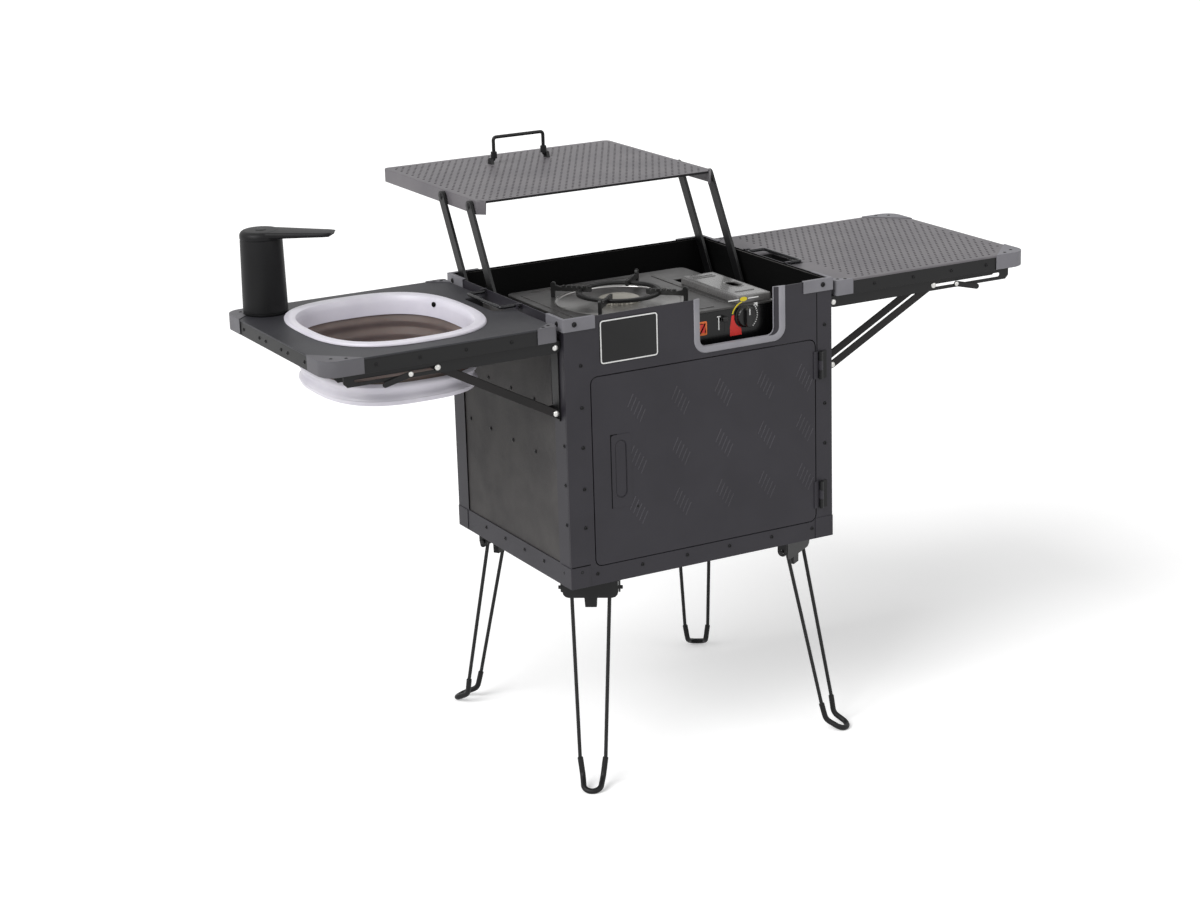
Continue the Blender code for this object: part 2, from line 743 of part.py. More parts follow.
def door_leaves():
    """The moving hinge leaves, each with a pad that carries it on the door's face."""
    free = KNUCKLE_SHARE / 2 - CLEAR / HINGE_HEIGHT
    shapes = []
    pads = []
    for middle in HINGE_MIDDLES:
        shapes += hinge_leaf(middle, -1, [(-free, free)])
        half = HINGE_HEIGHT / 2 - CLEAR
        low = (HINGE_AXIS_X - HINGE_LEAF + CLEAR, -HALF_DEPTH - HINGE_SHEET, middle - half)
        pads.append(block(low, (DOOR_RIGHT - CLEAR, -HALF_DEPTH + SHEET / 2, middle + half)))
    return [*shapes, merged(*pads)]


def pull_outline(margin):
    """The upright pill of the door's pull, grown all round by a margin."""
    reach = PULL_HEIGHT / 2 - PULL_WIDTH / 2
    return stadium((PULL_X, PULL_Z - reach), (PULL_X, PULL_Z + reach), PULL_WIDTH / 2 + margin)


def make_door(parent, steel):
    """The door, a tray open to the back, with the moving hinge leaves on its right edge."""
    back = -HALF_DEPTH + DOOR_DEPTH
    outline = rectangle(DOOR_LEFT, DOOR_RIGHT, DOOR_LOW, DOOR_HIGH, (DOOR_RADIUS,) * 4)
    radii = (DOOR_RADIUS - SHEET,) * 4
    inside = rectangle(DOOR_LEFT + SHEET, DOOR_RIGHT - SHEET, DOOR_LOW + SHEET, DOOR_HIGH - SHEET, radii)
    hollow = slab(inside, 1, -HALF_DEPTH + SHEET, back + OVERRUN)
    tray = worked("tray", slab(outline, 1, -HALF_DEPTH, back), cut=[hollow])
    well = slab(pull_outline(SHEET), 1, -HALF_DEPTH + SHEET / 2, back - CLEAR)
    sink = slab(pull_outline(CLEAR), 1, -HALF_DEPTH - OVERRUN, back - SHEET)
    mesh = worked("door", opened(tray), [*door_leaves(), well], [sink])
    door = place("door", mesh, steel, parent, (HINGE_AXIS_X, HINGE_AXIS_Y, DOOR_LOW))
    pull = slab(pull_outline(0), 1, -HALF_DEPTH, -HALF_DEPTH + PULL_SHEET)
    origin = (PULL_X + PULL_WIDTH / 2, -HALF_DEPTH, PULL_Z)
    place("door_pull", worked("door_pull", pull), steel, door, origin)


# Stove


def stove_case():
    """The pressed case of the stove, open underneath, with the wall of the can bay down its right."""
    low = SHELF_TOP + CLEAR
    sheet = STOVE_SHEET
    outline = rectangle(STOVE_LEFT, STOVE_RIGHT, STOVE_FRONT, STOVE_BACK, (STOVE_RADIUS,) * 4)
    radii = (STOVE_RADIUS - sheet, 0, 0, STOVE_RADIUS - sheet)
    inside = rectangle(
        STOVE_LEFT + sheet, CAN_LEFT + CAN_WALL - sheet, STOVE_FRONT + sheet, STOVE_BACK - sheet, radii
    )
    hollow = slab(inside, 2, low - OVERRUN, STOVE_TOP - sheet)
    pan_ring = circle((BURNER_X, BURNER_Y), DRIP_RADIUS + sheet)
    pan = slab(pan_ring, 2, STOVE_TOP - DRIP_DEPTH - sheet, STOVE_TOP + OVERRUN)
    under = worked("under", hollow, cut=[pan])
    return worked("case", slab(outline, 2, low, STOVE_TOP), cut=[opened(under)])


def make_stove(parent, enamel, iron, plastic):
    pan_floor = STOVE_TOP - DRIP_DEPTH
    pan = slab(circle((BURNER_X, BURNER_Y), DRIP_RADIUS), 2, pan_floor, STOVE_TOP + OVERRUN)
    bay = block(
        (CAN_LEFT + CAN_WALL, CAN_FRONT + CAN_WALL, SHELF_TOP + CLEAR + STOVE_SHEET),
        (STOVE_RIGHT - CAN_WALL, STOVE_BACK - CAN_WALL, STOVE_TOP + OVERRUN),
    )
    slot = block(
        (LOCK_X - LOCK_STEM / 2 - CLEAR, STOVE_FRONT - OVERRUN, LOCK_Z + LOCK_HEIGHT / 2 - LOCK_SLOT_HEIGHT),
        (LOCK_X + LOCK_STEM / 2 + CLEAR, STOVE_FRONT + LOCK_SLOT_DEPTH, LOCK_Z + LOCK_HEIGHT / 2),
    )
    burner_ring = circle((BURNER_X, BURNER_Y), BURNER_RADIUS)
    burner = slab(burner_ring, 2, pan_floor - STOVE_SHEET / 2, pan_floor + BURNER_RISE)
    dished = worked("dished", opened(stove_case()), cut=[merged(pan, bay, slot)])
    place("stove_body", worked("stove_body", opened(dished), [burner]), enamel, parent)
    make_pan_support(parent, iron)
    make_can_lid(parent, enamel)
    ring = circle((KNOB_X, KNOB_Z), KNOB_RADIUS)
    knob = slab(ring, 1, STOVE_FRONT - CLEAR - KNOB_DEPTH, STOVE_FRONT - CLEAR)
    place("stove_knob", worked("stove_knob", knob), plastic, parent, (KNOB_X, STOVE_FRONT, KNOB_Z))
    tab = block(
        (LOCK_X - LOCK_WIDTH / 2, STOVE_FRONT - CLEAR - LOCK_DEPTH, LOCK_Z - LOCK_HEIGHT / 2),
        (LOCK_X + LOCK_WIDTH / 2, STOVE_FRONT - CLEAR, LOCK_Z + LOCK_HEIGHT / 2),
    )
    stem = block(
        (LOCK_X - LOCK_STEM / 2, STOVE_FRONT - LOCK_DEPTH / 2, LOCK_Z - LOCK_STEM),
        (LOCK_X + LOCK_STEM / 2, STOVE_FRONT + LOCK_SLOT_DEPTH - CLEAR, LOCK_Z + LOCK_STEM),
    )
    mesh = worked("stove_lock_lever", tab, [stem])
    place("stove_lock_lever", mesh, plastic, parent, (LOCK_X, STOVE_FRONT, LOCK_Z))


def make_pan_support(parent, iron):
    """A ring with four arms, each standing on the stove's top by a foot at its outer end."""
    top = PAN_TOP
    low = PAN_TOP - PAN_BAR_HEIGHT
    outer = circle((BURNER_X, BURNER_Y), PAN_RING)
    inner = circle((BURNER_X, BURNER_Y), PAN_RING - PAN_BAR)
    ring = slab(outer, 2, low, top - PAN_BAR, [inner])
    arms = []
    for quarter in range(4):
        turn = Matrix.Rotation(math.radians(45 + 90 * quarter), 4, "Z")
        shift = Matrix.Translation((BURNER_X, BURNER_Y, 0))
        arm_low, arm_high = (PAN_ARM_IN, -PAN_BAR / 2, low), (PAN_ARM_OUT, PAN_BAR / 2, top)
        arm = block(arm_low, arm_high)
        bmesh.ops.transform(arm, matrix=shift @ turn, verts=arm.verts)
        foot = block(
            (PAN_ARM_OUT - PAN_FOOT, -PAN_BAR / 2 + CLEAR, STOVE_TOP + CLEAR),
            (PAN_ARM_OUT - CLEAR, PAN_BAR / 2 - CLEAR, top - CLEAR),
        )
        bmesh.ops.transform(foot, matrix=shift @ turn, verts=foot.verts)
        arms.append((arm, foot))
    mesh = worked(
        "stove_pan_support", ring, [merged(*[arm for arm, _ in arms]), merged(*[foot for _, foot in arms])]
    )
    place("stove_pan_support", mesh, iron, parent)


def make_can_lid(parent, enamel):
    low = STOVE_TOP + CLEAR
    radius = CAN_HOLE_WIDTH / 2
    hole = stadium(
        (CAN_HOLE_X, CAN_HOLE_Y - CAN_HOLE_LENGTH / 2 + radius),
        (CAN_HOLE_X, CAN_HOLE_Y + CAN_HOLE_LENGTH / 2 - radius),
        radius,
    )
    outline = rectangle(CAN_LEFT, STOVE_RIGHT - SHEET, CAN_FRONT, CAN_BACK, (CAN_WALL,) * 4)
    inside = rectangle(
        CAN_LEFT + SHEET, STOVE_RIGHT - SHEET - SHEET, CAN_FRONT + SHEET, CAN_BACK - SHEET
    )
    lid = slab(outline, 2, low, CAN_LID_TOP, [hole])
    hollow = slab(inside, 2, low - OVERRUN, CAN_LID_TOP - SHEET)
    mesh = worked("stove_can_lid", lid, cut=[hollow])
    place("stove_can_lid", mesh, enamel, parent, (CAN_LEFT, CAN_FRONT, CAN_LID_TOP))


# Lid


def link_places():
    """The lower and upper pivots of the front and the back links, as (y, z)."""
    places = {}
    for step, end in enumerate(ENDS):
        low = (LINK_Y + step * LINK_PITCH, LINK_Z)
        places[end] = (low, (low[0] + LINK_BACK, low[1] + LINK_RISE))
    return places


def make_lid(parent, lid_look, link_look):
    half = LID_HALF_WIDTH
    cut = LID_CHAMFER
    corners = [(-half, LID_BACK), (half, LID_BACK), (half, LID_FRONT + cut), (half - cut, LID_FRONT)]
    corners += [(cut - half, LID_FRONT), (-half, LID_FRONT + cut)]
    inner_cut = cut - SHEET / 2
    inner = [
        (SHEET - half, LID_BACK - SHEET),
        (half - SHEET, LID_BACK - SHEET),
        (half - SHEET, LID_FRONT + SHEET + inner_cut),
        (half - SHEET - inner_cut, LID_FRONT + SHEET),
        (inner_cut + SHEET - half, LID_FRONT + SHEET),
        (SHEET - half, LID_FRONT + SHEET + inner_cut),
    ]
    top = slab(corners, 2, LID_TOP - LID_FLANGE, LID_TOP)
    hollow = slab(inner, 2, LID_TOP - LID_FLANGE - OVERRUN, LID_TOP - SHEET)
    shell = worked("shell", top, cut=[hollow])
    pins = []
    for side in SIDES.values():
        for _, (y, z) in link_places().values():
            low, high = sorted((side * (half - SHEET / 2), side * (LINK_X + LINK_SHEET / 2)))
            pins.append(slab(circle((y, z), LINK_PIN, PIN_COUNT), 0, low, high))
    pivot_z = LID_TOP + HANDLE_SEAT
    lugs = []
    for side in SIDES.values():
        low, high = sorted(
            (side * (HANDLE_HALF + HANDLE_ROD + CLEAR), side * (HANDLE_HALF + HANDLE_ROD + HANDLE_LUG))
        )
        lug_top = pivot_z + HANDLE_LUG_HALF
        lugs.append(
            block(
                (low, HANDLE_Y - HANDLE_LUG_HALF, LID_TOP - SHEET / 2),
                (high, HANDLE_Y + HANDLE_LUG_HALF, lug_top),
            )
        )
    reach = HANDLE_HALF + HANDLE_ROD + HANDLE_LUG + OVERRUN
    handle_bore = slab(bore((HANDLE_Y, pivot_z), HANDLE_ROD), 0, -reach, reach)
    mesh = worked("lid", opened(shell), [merged(*pins), merged(*lugs)], [handle_bore])
    front_top = link_places()["f"][1]
    lid = place("lid", mesh, lid_look, parent, (-LINK_X, *front_top))
    make_lid_handle(lid, link_look)
    make_links(parent, link_look)


def make_lid_handle(lid, rod_look):
    pivot_z = LID_TOP + HANDLE_SEAT
    end = HANDLE_HALF + HANDLE_ROD + HANDLE_LUG - CLEAR
    corners = [(-end, 0), (-HANDLE_HALF, 0), (-HANDLE_HALF, HANDLE_RISE)]
    corners += [(HANDLE_HALF, HANDLE_RISE), (HANDLE_HALF, 0), (end, 0)]
    path = fillet([(x, HANDLE_Y, pivot_z + z) for x, z in corners], HANDLE_ROD)
    mesh = worked("lid_handle", rod(path, HANDLE_ROD))
    place("lid_handle", mesh, rod_look, lid, (0, HANDLE_Y, pivot_z))


def make_links(parent, link_look):
    for side_name, side in SIDES.items():
        for end, (low, high) in link_places().items():
            near, far = sorted((side * (LINK_X - LINK_SHEET / 2), side * (LINK_X + LINK_SHEET / 2)))
            holes = [bore(low, LINK_PIN), bore(high, LINK_PIN)]
            bar = slab(stadium(low, high, LINK_HALF_WIDTH), 0, near, far, holes)
            name = "link_bar_" + side_name + end
            place(name, worked(name, bar), link_look, parent, (side * LINK_X, *low))


def make_side_handles(parent, rod_look):
    end = GRIP_HALF + GRIP_ROD + GRIP_LUG - CLEAR
    corners = [(0, -end), (0, -GRIP_HALF), (GRIP_REACH, -GRIP_HALF)]
    corners += [(GRIP_REACH, GRIP_HALF), (0, GRIP_HALF), (0, end)]
    for name, side in SIDES.items():
        path = fillet([(side * (GRIP_X + x), y, GRIP_Z) for x, y in corners], GRIP_ROD)
        mesh = worked("side_handle", rod(path, GRIP_ROD))
        place("side_handle_" + name, mesh, rod_look, parent, (side * GRIP_X, 0, GRIP_Z))


# Boards and their folding brackets


def make_boards(parent, left_look, right_look):
    """Each board is a slab with round outer corners and a hand slot in its inner edge.

    The left one holds the basin, and the right one is hollow underneath.
    """
    boards = {}
    for name, side in SIDES.items():
        outer, inner = BOARD_RADIUS, BOARD_INNER_RADIUS
        left, right = sorted((side * BOARD_IN, side * BOARD_OUT))
        radii = (outer, inner, inner, outer) if side < 0 else (inner, outer, outer, inner)
        outline = rectangle(left, right, -BOARD_HALF_DEPTH, BOARD_HALF_DEPTH, radii)
        holes = []
        if side < 0:
            holes.append(superellipse(COLLAR_HALF_X + HOLE_CLEAR, COLLAR_HALF_Y + HOLE_CLEAR))
        board = slab(outline, 2, BOARD_LOW, BOARD_TOP, holes)
        low, high = sorted((side * (BOARD_IN - OVERRUN), side * (BOARD_IN + SLOT_REACH)))
        cuts = [block((low, -SLOT_HALF, BOARD_LOW - OVERRUN), (high, SLOT_HALF, BOARD_TOP + OVERRUN))]
        if side > 0:
            half = BRACKET_Y - ARM_HALF - BOARD_EDGE / 2
            start = BOARD_IN + SLOT_REACH + BOARD_EDGE
            top = BOARD_TOP - BOARD_SHEET
            cuts.append(block((start, -half, BOARD_LOW - OVERRUN), (BOARD_OUT - BOARD_EDGE, half, top)))
        mesh = worked("board", board, cut=[merged(*cuts)])
        board_look = left_look if side < 0 else right_look
        full_name = ("left" if side < 0 else "right") + "_board"
        boards[name] = place(full_name, mesh, board_look, parent, (side * PIVOT_X, 0, PIVOT_Z))
    return boards


def rail_mesh():
    """The wall plate of a bracket, with ears and the two pins, seen from the fold pivot."""
    wall = HALF_WIDTH + CLEAR - PIVOT_X
    face = wall + RAIL_SHEET
    plate = block((wall, -RAIL_HALF, -STRUT_DROP - RAIL_FOOT), (face, RAIL_HALF, RAIL_HEAD))
    ears = []
    pins = []
    for height in (0, -STRUT_DROP):
        outline = [(face - RAIL_SHEET / 2, height - EAR_HALF_HEIGHT)]
        outline += arc((0, height), EAR_RADIUS, -90, 90, 2 * CORNER_STEPS)
        outline += [(face - RAIL_SHEET / 2, height + EAR_RADIUS)]
        for end in ENDS.values():
            low, high = sorted((end * (RAIL_HALF - CLEAR), end * (RAIL_HALF - EAR_SHEET)))
            ears.append(slab(outline, 1, low, high))
    for height, half in ((0, ARM_HALF + EAR_SHEET), (-STRUT_DROP, STRUT_INNER + STRUT_SHEET + CLEAR)):
        pins.append(slab(circle((0, height), BRACKET_PIN, PIN_COUNT), 1, -half, half))
    return worked("bracket_rail", plate, [merged(*ears), merged(*pins)])


def arm_mesh():
    """The upside-down channel screwed under a board, with its pivot holes and its slots."""
    outline = arc((0, 0), ARM_LOW, 180, 270)
    outline += [(ARM_LENGTH - ARM_END_RADIUS, -ARM_LOW), (ARM_LENGTH, ARM_END_RADIUS - ARM_LOW)]
    outline += [(ARM_LENGTH, ARM_HIGH), (-ARM_LOW, ARM_HIGH)]
    hole = bore((0, 0), BRACKET_PIN)
    slot = stadium(
        (ARM_SLOT_START + ARM_SLOT_HALF, 0), (ARM_SLOT_END - ARM_SLOT_HALF, 0), ARM_SLOT_HALF
    )
    flanges = []
    for end in ENDS.values():
        low, high = sorted((end * ARM_HALF, end * (ARM_HALF - ARM_SHEET)))
        flanges.append(slab(outline, 1, low, high, [hole, slot]))
    web = block(
        (-ARM_WEB_START, -ARM_HALF + CLEAR, ARM_HIGH - ARM_SHEET),
        (ARM_LENGTH - CLEAR, ARM_HALF - CLEAR, ARM_HIGH - CLEAR),
    )
    return worked("bracket_arm", web, [merged(*flanges)])


def strut_mesh():
    """Two bars side by side, with the pin at their top end, seen from the lower pivot."""
    top = (STRUT_REACH, STRUT_DROP)
    bars = []
    for end in ENDS.values():
        low, high = sorted((end * STRUT_INNER, end * (STRUT_INNER + STRUT_SHEET)))
        hole = bore((0, 0), BRACKET_PIN)
        bars.append(slab(stadium((0, 0), top, STRUT_HALF_WIDTH), 1, low, high, [hole]))
    half = STRUT_INNER + STRUT_SHEET + CLEAR
    pin = slab(circle(top, BRACKET_PIN, PIN_COUNT), 1, -half, half)
    return worked("bracket_strut", merged(*bars), [pin])


def lever_mesh(end):
    """The release lever on the outer face of an arm, seen from its rivet."""
    tip = (LEVER_TIP_REACH, -LEVER_TIP_DROP)
    low, high = sorted((end * (ARM_HALF + CLEAR), end * (ARM_HALF + CLEAR + LEVER_SHEET)))
    return worked("bracket_lever", slab(stadium((0, 0), tip, LEVER_HALF_WIDTH), 1, low, high))


def make_brackets(parent, boards, steel, zinc):
    rail, arm, strut = rail_mesh(), arm_mesh(), strut_mesh()
    outer_levers = {side: {end: lever_mesh(SIDES[side] * ENDS[end]) for end in ENDS} for side in SIDES}
    for side_name, side in SIDES.items():
        turn = 0 if side > 0 else 180
        for end_name, end in ENDS.items():
            tag = "_" + side_name + end_name
            pivot = Vector((side * PIVOT_X, end * BRACKET_Y, PIVOT_Z))
            place("bracket_rail" + tag, rail, steel, parent, pivot, turn)
            place("bracket_arm" + tag, arm, steel, boards[side_name], pivot, turn)
            foot = pivot - Vector((0, 0, STRUT_DROP))
            place("bracket_strut" + tag, strut, zinc, parent, foot, turn)
            rivet = pivot + Vector((side * LEVER_REACH, 0, -LEVER_DROP))
            lever = outer_levers[side_name][end_name]
            place("bracket_lever" + tag, lever, zinc, boards[side_name], rivet, turn)


# Basin and tap


def basin_rings(sections):
    """Rings of the basin's outline, from (inset, z) sections on the collar's outer half sizes."""
    rings = []
    for inset, z in sections:
        outline = superellipse(COLLAR_HALF_X - inset, COLLAR_HALF_Y - inset)
        rings.append([(x, y, z) for x, y in outline])
    return rings


def make_basin(board, white, silicone):
    pivot = (-PIVOT_X, 0, PIVOT_Z)
    seat = BOARD_TOP + CLEAR
    top = seat + RIM_RISE
    collar_low = top - COLLAR_DEPTH - RIM_RISE
    edge = superellipse(RIM_HALF_X, RIM_HALF_Y)
    shoulder = superellipse(RIM_HALF_X - RIM_EDGE, RIM_HALF_Y - RIM_EDGE)
    rings = [[(x, y, seat) for x, y in edge], [(x, y, top) for x, y in shoulder]]
    rings += basin_rings([(COLLAR_WALL + RIM_EDGE, top), (COLLAR_WALL, seat)])
    rings += basin_rings([(COLLAR_WALL, collar_low), (0, collar_low), (0, seat)])
    place("basin_rim", worked("basin_rim", stack(rings, closed=True)), white, board, pivot)
    high = collar_low - CLEAR
    low = BASIN_FLOOR_LOW + BASIN_FLOOR_LIP + CLEAR
    outside = []
    inside = []
    for step in range(2 * BASIN_PLEATS + 1):
        z = high + (low - high) * step / (2 * BASIN_PLEATS)
        inset = BASIN_PLEAT_DEPTH if step % 2 else 0
        outside.append((inset, z))
        inside.append((inset + BASIN_WALL, z))
    wall = stack(basin_rings(outside + inside[::-1]), closed=True)
    mesh = worked("basin_wall", wall)
    place("basin_wall", mesh, silicone, board, (BASIN_X, BASIN_Y, high))
    lip = BASIN_FLOOR_LOW + BASIN_FLOOR_LIP
    sections = [(FLOOR_INSET, BASIN_FLOOR_LOW), (0, lip), (BASIN_WALL, lip)]
    sections += [(FLOOR_INSET + BASIN_WALL, BASIN_FLOOR_LOW + BASIN_FLOOR_SHEET)]
    mesh = worked("basin_floor", stack(basin_rings(sections)))
    place("basin_floor", mesh, white, board, (BASIN_X, BASIN_Y, BASIN_FLOOR_LOW))


def make_tap(board, plastic):
    low = BOARD_TOP + CLEAR
    sections = ((TAP_FOOT_RADIUS, low), (TAP_RADIUS, TAP_BODY_TOP))
    rings = [[(x, y, z) for x, y in circle((TAP_X, TAP_Y), radius)] for radius, z in sections]
    mesh = worked("faucet_body", stack(rings))
    body = place("faucet_body", mesh, plastic, board, (-PIVOT_X, 0, PIVOT_Z))
    head = slab(circle((TAP_X, TAP_Y), TAP_RADIUS), 2, TAP_BODY_TOP + CLEAR, TAP_TOP)
    outline = [(0, -SPOUT_ROOT_HALF)]
    outline += arc((SPOUT_REACH - SPOUT_TIP_HALF, 0), SPOUT_TIP_HALF, -90, 90, 2 * CORNER_STEPS)
    outline += [(0, SPOUT_ROOT_HALF)]
    blade = slab(outline, 2, TAP_TOP - SPOUT_SHEET, TAP_TOP - CLEAR)
    turn = Matrix.Rotation(math.radians(SPOUT_TURN_DEG), 4, "Z")
    bmesh.ops.transform(blade, matrix=Matrix.Translation((TAP_X, TAP_Y, 0)) @ turn, verts=blade.verts)
    mesh = worked("faucet_spout", head, [blade])
    place("faucet_spout", mesh, plastic, body, (TAP_X, TAP_Y, TAP_BODY_TOP))


# Legs


def shank(half, z):
    """A point on a leg's shank, which splays outwards as it goes down."""
    return Vector((-z * LEG_SPLAY_SLOPE, half, z))


def leg_mesh():
    """A hairpin of bent rod: two pins, two splayed shanks with thicker sleeves, and a foot loop."""
    sleeve = shank(LEG_SLEEVE_HALF, LEG_SLEEVE_Z)
    bend = shank(LEG_BEND_HALF, LEG_BEND_Z)
    slope = Vector((FOOT_RUN, 0, -FOOT_FALL))
    centre = bend + slope - slope.normalized() * FOOT_LOOP
    centre.y = 0
    across = Vector((0, FOOT_LOOP, 0))
    forward = slope.normalized() * FOOT_LOOP
    thin = fillet([(0, LEG_TRUNNION_HALF, 0), shank(LEG_TOP_HALF, 0), sleeve], LEG_FILLET)
    step = (bend - sleeve).normalized() * LEG_SLEEVE_STEP
    thick = fillet([sleeve + step, bend, centre + across], LEG_FILLET)[:-1]
    loop = []
    for index in range(FOOT_STEPS + 1):
        angle = math.pi * index / FOOT_STEPS
        loop.append(centre + across * math.cos(angle) + forward * math.sin(angle))
    half = thin + thick
    radii = [LEG_ROD] * len(thin) + [LEG_SLEEVE] * len(thick)
    mirrored = [Vector((point.x, -point.y, point.z)) for point in reversed(half)]
    leg = rod(half + loop + mirrored, radii + [LEG_SLEEVE] * len(loop) + radii[::-1])
    floor = LEG_DROP - LEG_HEIGHT
    reach = FOOT_REACH + OVERRUN
    cutter = block((-OVERRUN, -LEG_TOP_HALF, floor - OVERRUN), (reach, LEG_TOP_HALF, floor))
    return worked("leg", leg, cut=[cutter])


def leg_bracket_mesh():
    """The plate screwed under the box, with two ears, the stop flange and the lock block."""
    top = LEG_DROP - CLEAR
    under = top - MOUNT_SHEET
    corner = MOUNT_CORNER
    outline = [(-MOUNT_BACK, corner - MOUNT_HALF), (corner - MOUNT_BACK, -MOUNT_HALF), (0, -MOUNT_HALF)]
    outline += [(MOUNT_FRONT, -MOUNT_EAR_IN), (MOUNT_FRONT, MOUNT_EAR_IN), (0, MOUNT_HALF)]
    outline += [(corner - MOUNT_BACK, MOUNT_HALF), (-MOUNT_BACK, MOUNT_HALF - corner)]
    plate = slab(outline, 2, under, top)
    ear_outline = arc((0, 0), MOUNT_EAR_RADIUS, 180, 360, 2 * CORNER_STEPS)
    ear_outline += [(MOUNT_EAR_RADIUS, top - MOUNT_SHEET / 2), (-MOUNT_EAR_RADIUS, top - MOUNT_SHEET / 2)]
    hole = bore((0, 0), LEG_ROD)
    ears = []
    for end in ENDS.values():
        low, high = sorted((end * MOUNT_EAR_IN, end * (MOUNT_EAR_IN + MOUNT_EAR_SHEET)))
        ears.append(slab(ear_outline, 1, low, high, [hole]))
    flange_outline = rectangle(
        -MOUNT_EAR_IN + CLEAR,
        MOUNT_EAR_IN - CLEAR,
        LEG_DROP - STOP_DEPTH,
        top - MOUNT_SHEET / 2,
        (STOP_RADIUS, STOP_RADIUS, 0, 0),
    )
    flange = slab(flange_outline, 0, STOP_FACE, STOP_FACE + MOUNT_SHEET)
    rings = []
    block_low = LEG_DROP - LOCK_BLOCK_DEPTH
    for half, z in ((LOCK_BLOCK_TOP_HALF, top - MOUNT_SHEET / 2), (LOCK_BLOCK_LOW_HALF, block_low)):
        corners = rectangle(-LOCK_BLOCK_BACK, LOCK_BLOCK_FRONT, -half, half)
        rings.append([(x, y, z) for x, y in corners])
    return worked("leg_bracket", plate, [merged(*ears), flange, stack(rings)])


def make_legs(parent, steel, rubber):
    leg, bracket = leg_mesh(), leg_bracket_mesh()
    for corner, (side, end) in CORNERS.items():
        angle = LEG_SWEEP_DEG if side > 0 else 180 - LEG_SWEEP_DEG
        turn = angle * end
        trunnion = (side * LEG_X, end * LEG_Y, -LEG_DROP)
        place("leg_bracket_" + corner, bracket, steel, parent, trunnion, turn)
        place("leg_" + corner, leg, rubber, parent, trunnion, turn)


def main():
    clear_scene()
    root = bpy.data.objects.new("chuck_box", None)
    bpy.context.scene.collection.objects.link(root)
    root.location = (0, -MIDDLE_Y, LEG_HEIGHT)
    charcoal = look("charcoal_paint", (0.045, 0.043, 0.048), 0.55)
    panel = look("side_panel_paint", (0.075, 0.070, 0.068), 0.7)
    black = look("black_paint", (0.012, 0.012, 0.013), 0.5)
    grey = look("grey_cap", (0.21, 0.21, 0.23), 0.5)
    lid_grey = look("lid_paint", (0.17, 0.17, 0.18), 0.5)
    slate = look("left_board_paint", (0.050, 0.050, 0.056), 0.6)
    perforated = look("right_board_paint", (0.15, 0.15, 0.16), 0.6)
    white = look("white_plastic", (0.75, 0.75, 0.78), 0.35)
    silicone = look("grey_silicone", (0.28, 0.26, 0.25), 0.6)
    enamel = look("stove_enamel", (0.02, 0.02, 0.022), 0.3)
    iron = look("cast_iron", (0.03, 0.03, 0.03), 0.6, 0.6)
    plastic = look("black_plastic", (0.014, 0.014, 0.015), 0.45)
    zinc = look("zinc_steel", (0.25, 0.25, 0.26), 0.35, 0.9)

    make_frame(root, charcoal)
    make_front_panel(root, charcoal)
    make_panels(root, panel, black)
    make_top_caps(root, grey)
    make_hinges(root, black)
    make_door(root, charcoal)
    make_stove(root, enamel, iron, plastic)
    make_lid(root, lid_grey, black)
    make_side_handles(root, black)
    boards = make_boards(root, slate, perforated)
    make_brackets(root, boards, black, zinc)
    make_basin(boards["l"], white, silicone)
    make_tap(boards["l"], plastic)
    make_legs(root, black, plastic)


if __name__ == "__main__":
    main()
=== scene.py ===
"""Looks of the folding camp kitchen: its visible pieces, their finishes, the lamps and the camera.

Pieces are made in box coordinates, in metres: x and y run from the middle of the box and z from its
bottom. `ORIGIN` is that point in the frame. The frame's own nodes stay where they are, and a piece
that has a finer shape stands for its node.
"""

import json
import logging
import math
from collections.abc import Callable, Iterable, Sequence
from dataclasses import dataclass
from enum import Enum

import bmesh
import bpy
from mathutils import Matrix, Vector

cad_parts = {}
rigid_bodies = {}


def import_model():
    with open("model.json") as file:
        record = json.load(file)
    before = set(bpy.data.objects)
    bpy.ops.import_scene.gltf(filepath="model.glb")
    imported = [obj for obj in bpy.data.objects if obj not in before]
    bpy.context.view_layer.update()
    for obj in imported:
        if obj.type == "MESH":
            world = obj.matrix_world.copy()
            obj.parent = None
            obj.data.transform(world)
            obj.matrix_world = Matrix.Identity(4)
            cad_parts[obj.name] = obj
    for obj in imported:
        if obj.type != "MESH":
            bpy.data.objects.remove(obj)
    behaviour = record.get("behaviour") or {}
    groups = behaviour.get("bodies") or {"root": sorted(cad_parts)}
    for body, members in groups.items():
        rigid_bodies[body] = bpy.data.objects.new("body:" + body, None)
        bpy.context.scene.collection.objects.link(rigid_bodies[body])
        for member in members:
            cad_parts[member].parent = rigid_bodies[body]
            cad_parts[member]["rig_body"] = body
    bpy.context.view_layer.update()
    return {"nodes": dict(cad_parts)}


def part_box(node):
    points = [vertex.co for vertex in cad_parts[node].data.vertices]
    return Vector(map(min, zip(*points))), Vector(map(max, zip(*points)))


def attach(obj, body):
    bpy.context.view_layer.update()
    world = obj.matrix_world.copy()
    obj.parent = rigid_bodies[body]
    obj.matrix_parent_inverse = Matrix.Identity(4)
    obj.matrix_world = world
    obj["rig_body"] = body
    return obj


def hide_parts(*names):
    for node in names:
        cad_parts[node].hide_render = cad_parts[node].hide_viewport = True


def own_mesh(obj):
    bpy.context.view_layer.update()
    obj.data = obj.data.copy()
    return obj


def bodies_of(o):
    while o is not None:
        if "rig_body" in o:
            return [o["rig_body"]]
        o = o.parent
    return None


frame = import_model()
LOG = logging.getLogger("camp_kitchen")

FRONT_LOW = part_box("front_panel")[0]
SHELL_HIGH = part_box("chassis_frame")[1]
ORIGIN = Vector((0.0, (FRONT_LOW.y + SHELL_HIGH.y) / 2, FRONT_LOW.z))
MM = 0.001

Point = Sequence[float]
Rows = Sequence[Point]
Outline = list[tuple[float, float]]
Ring = list[Vector]

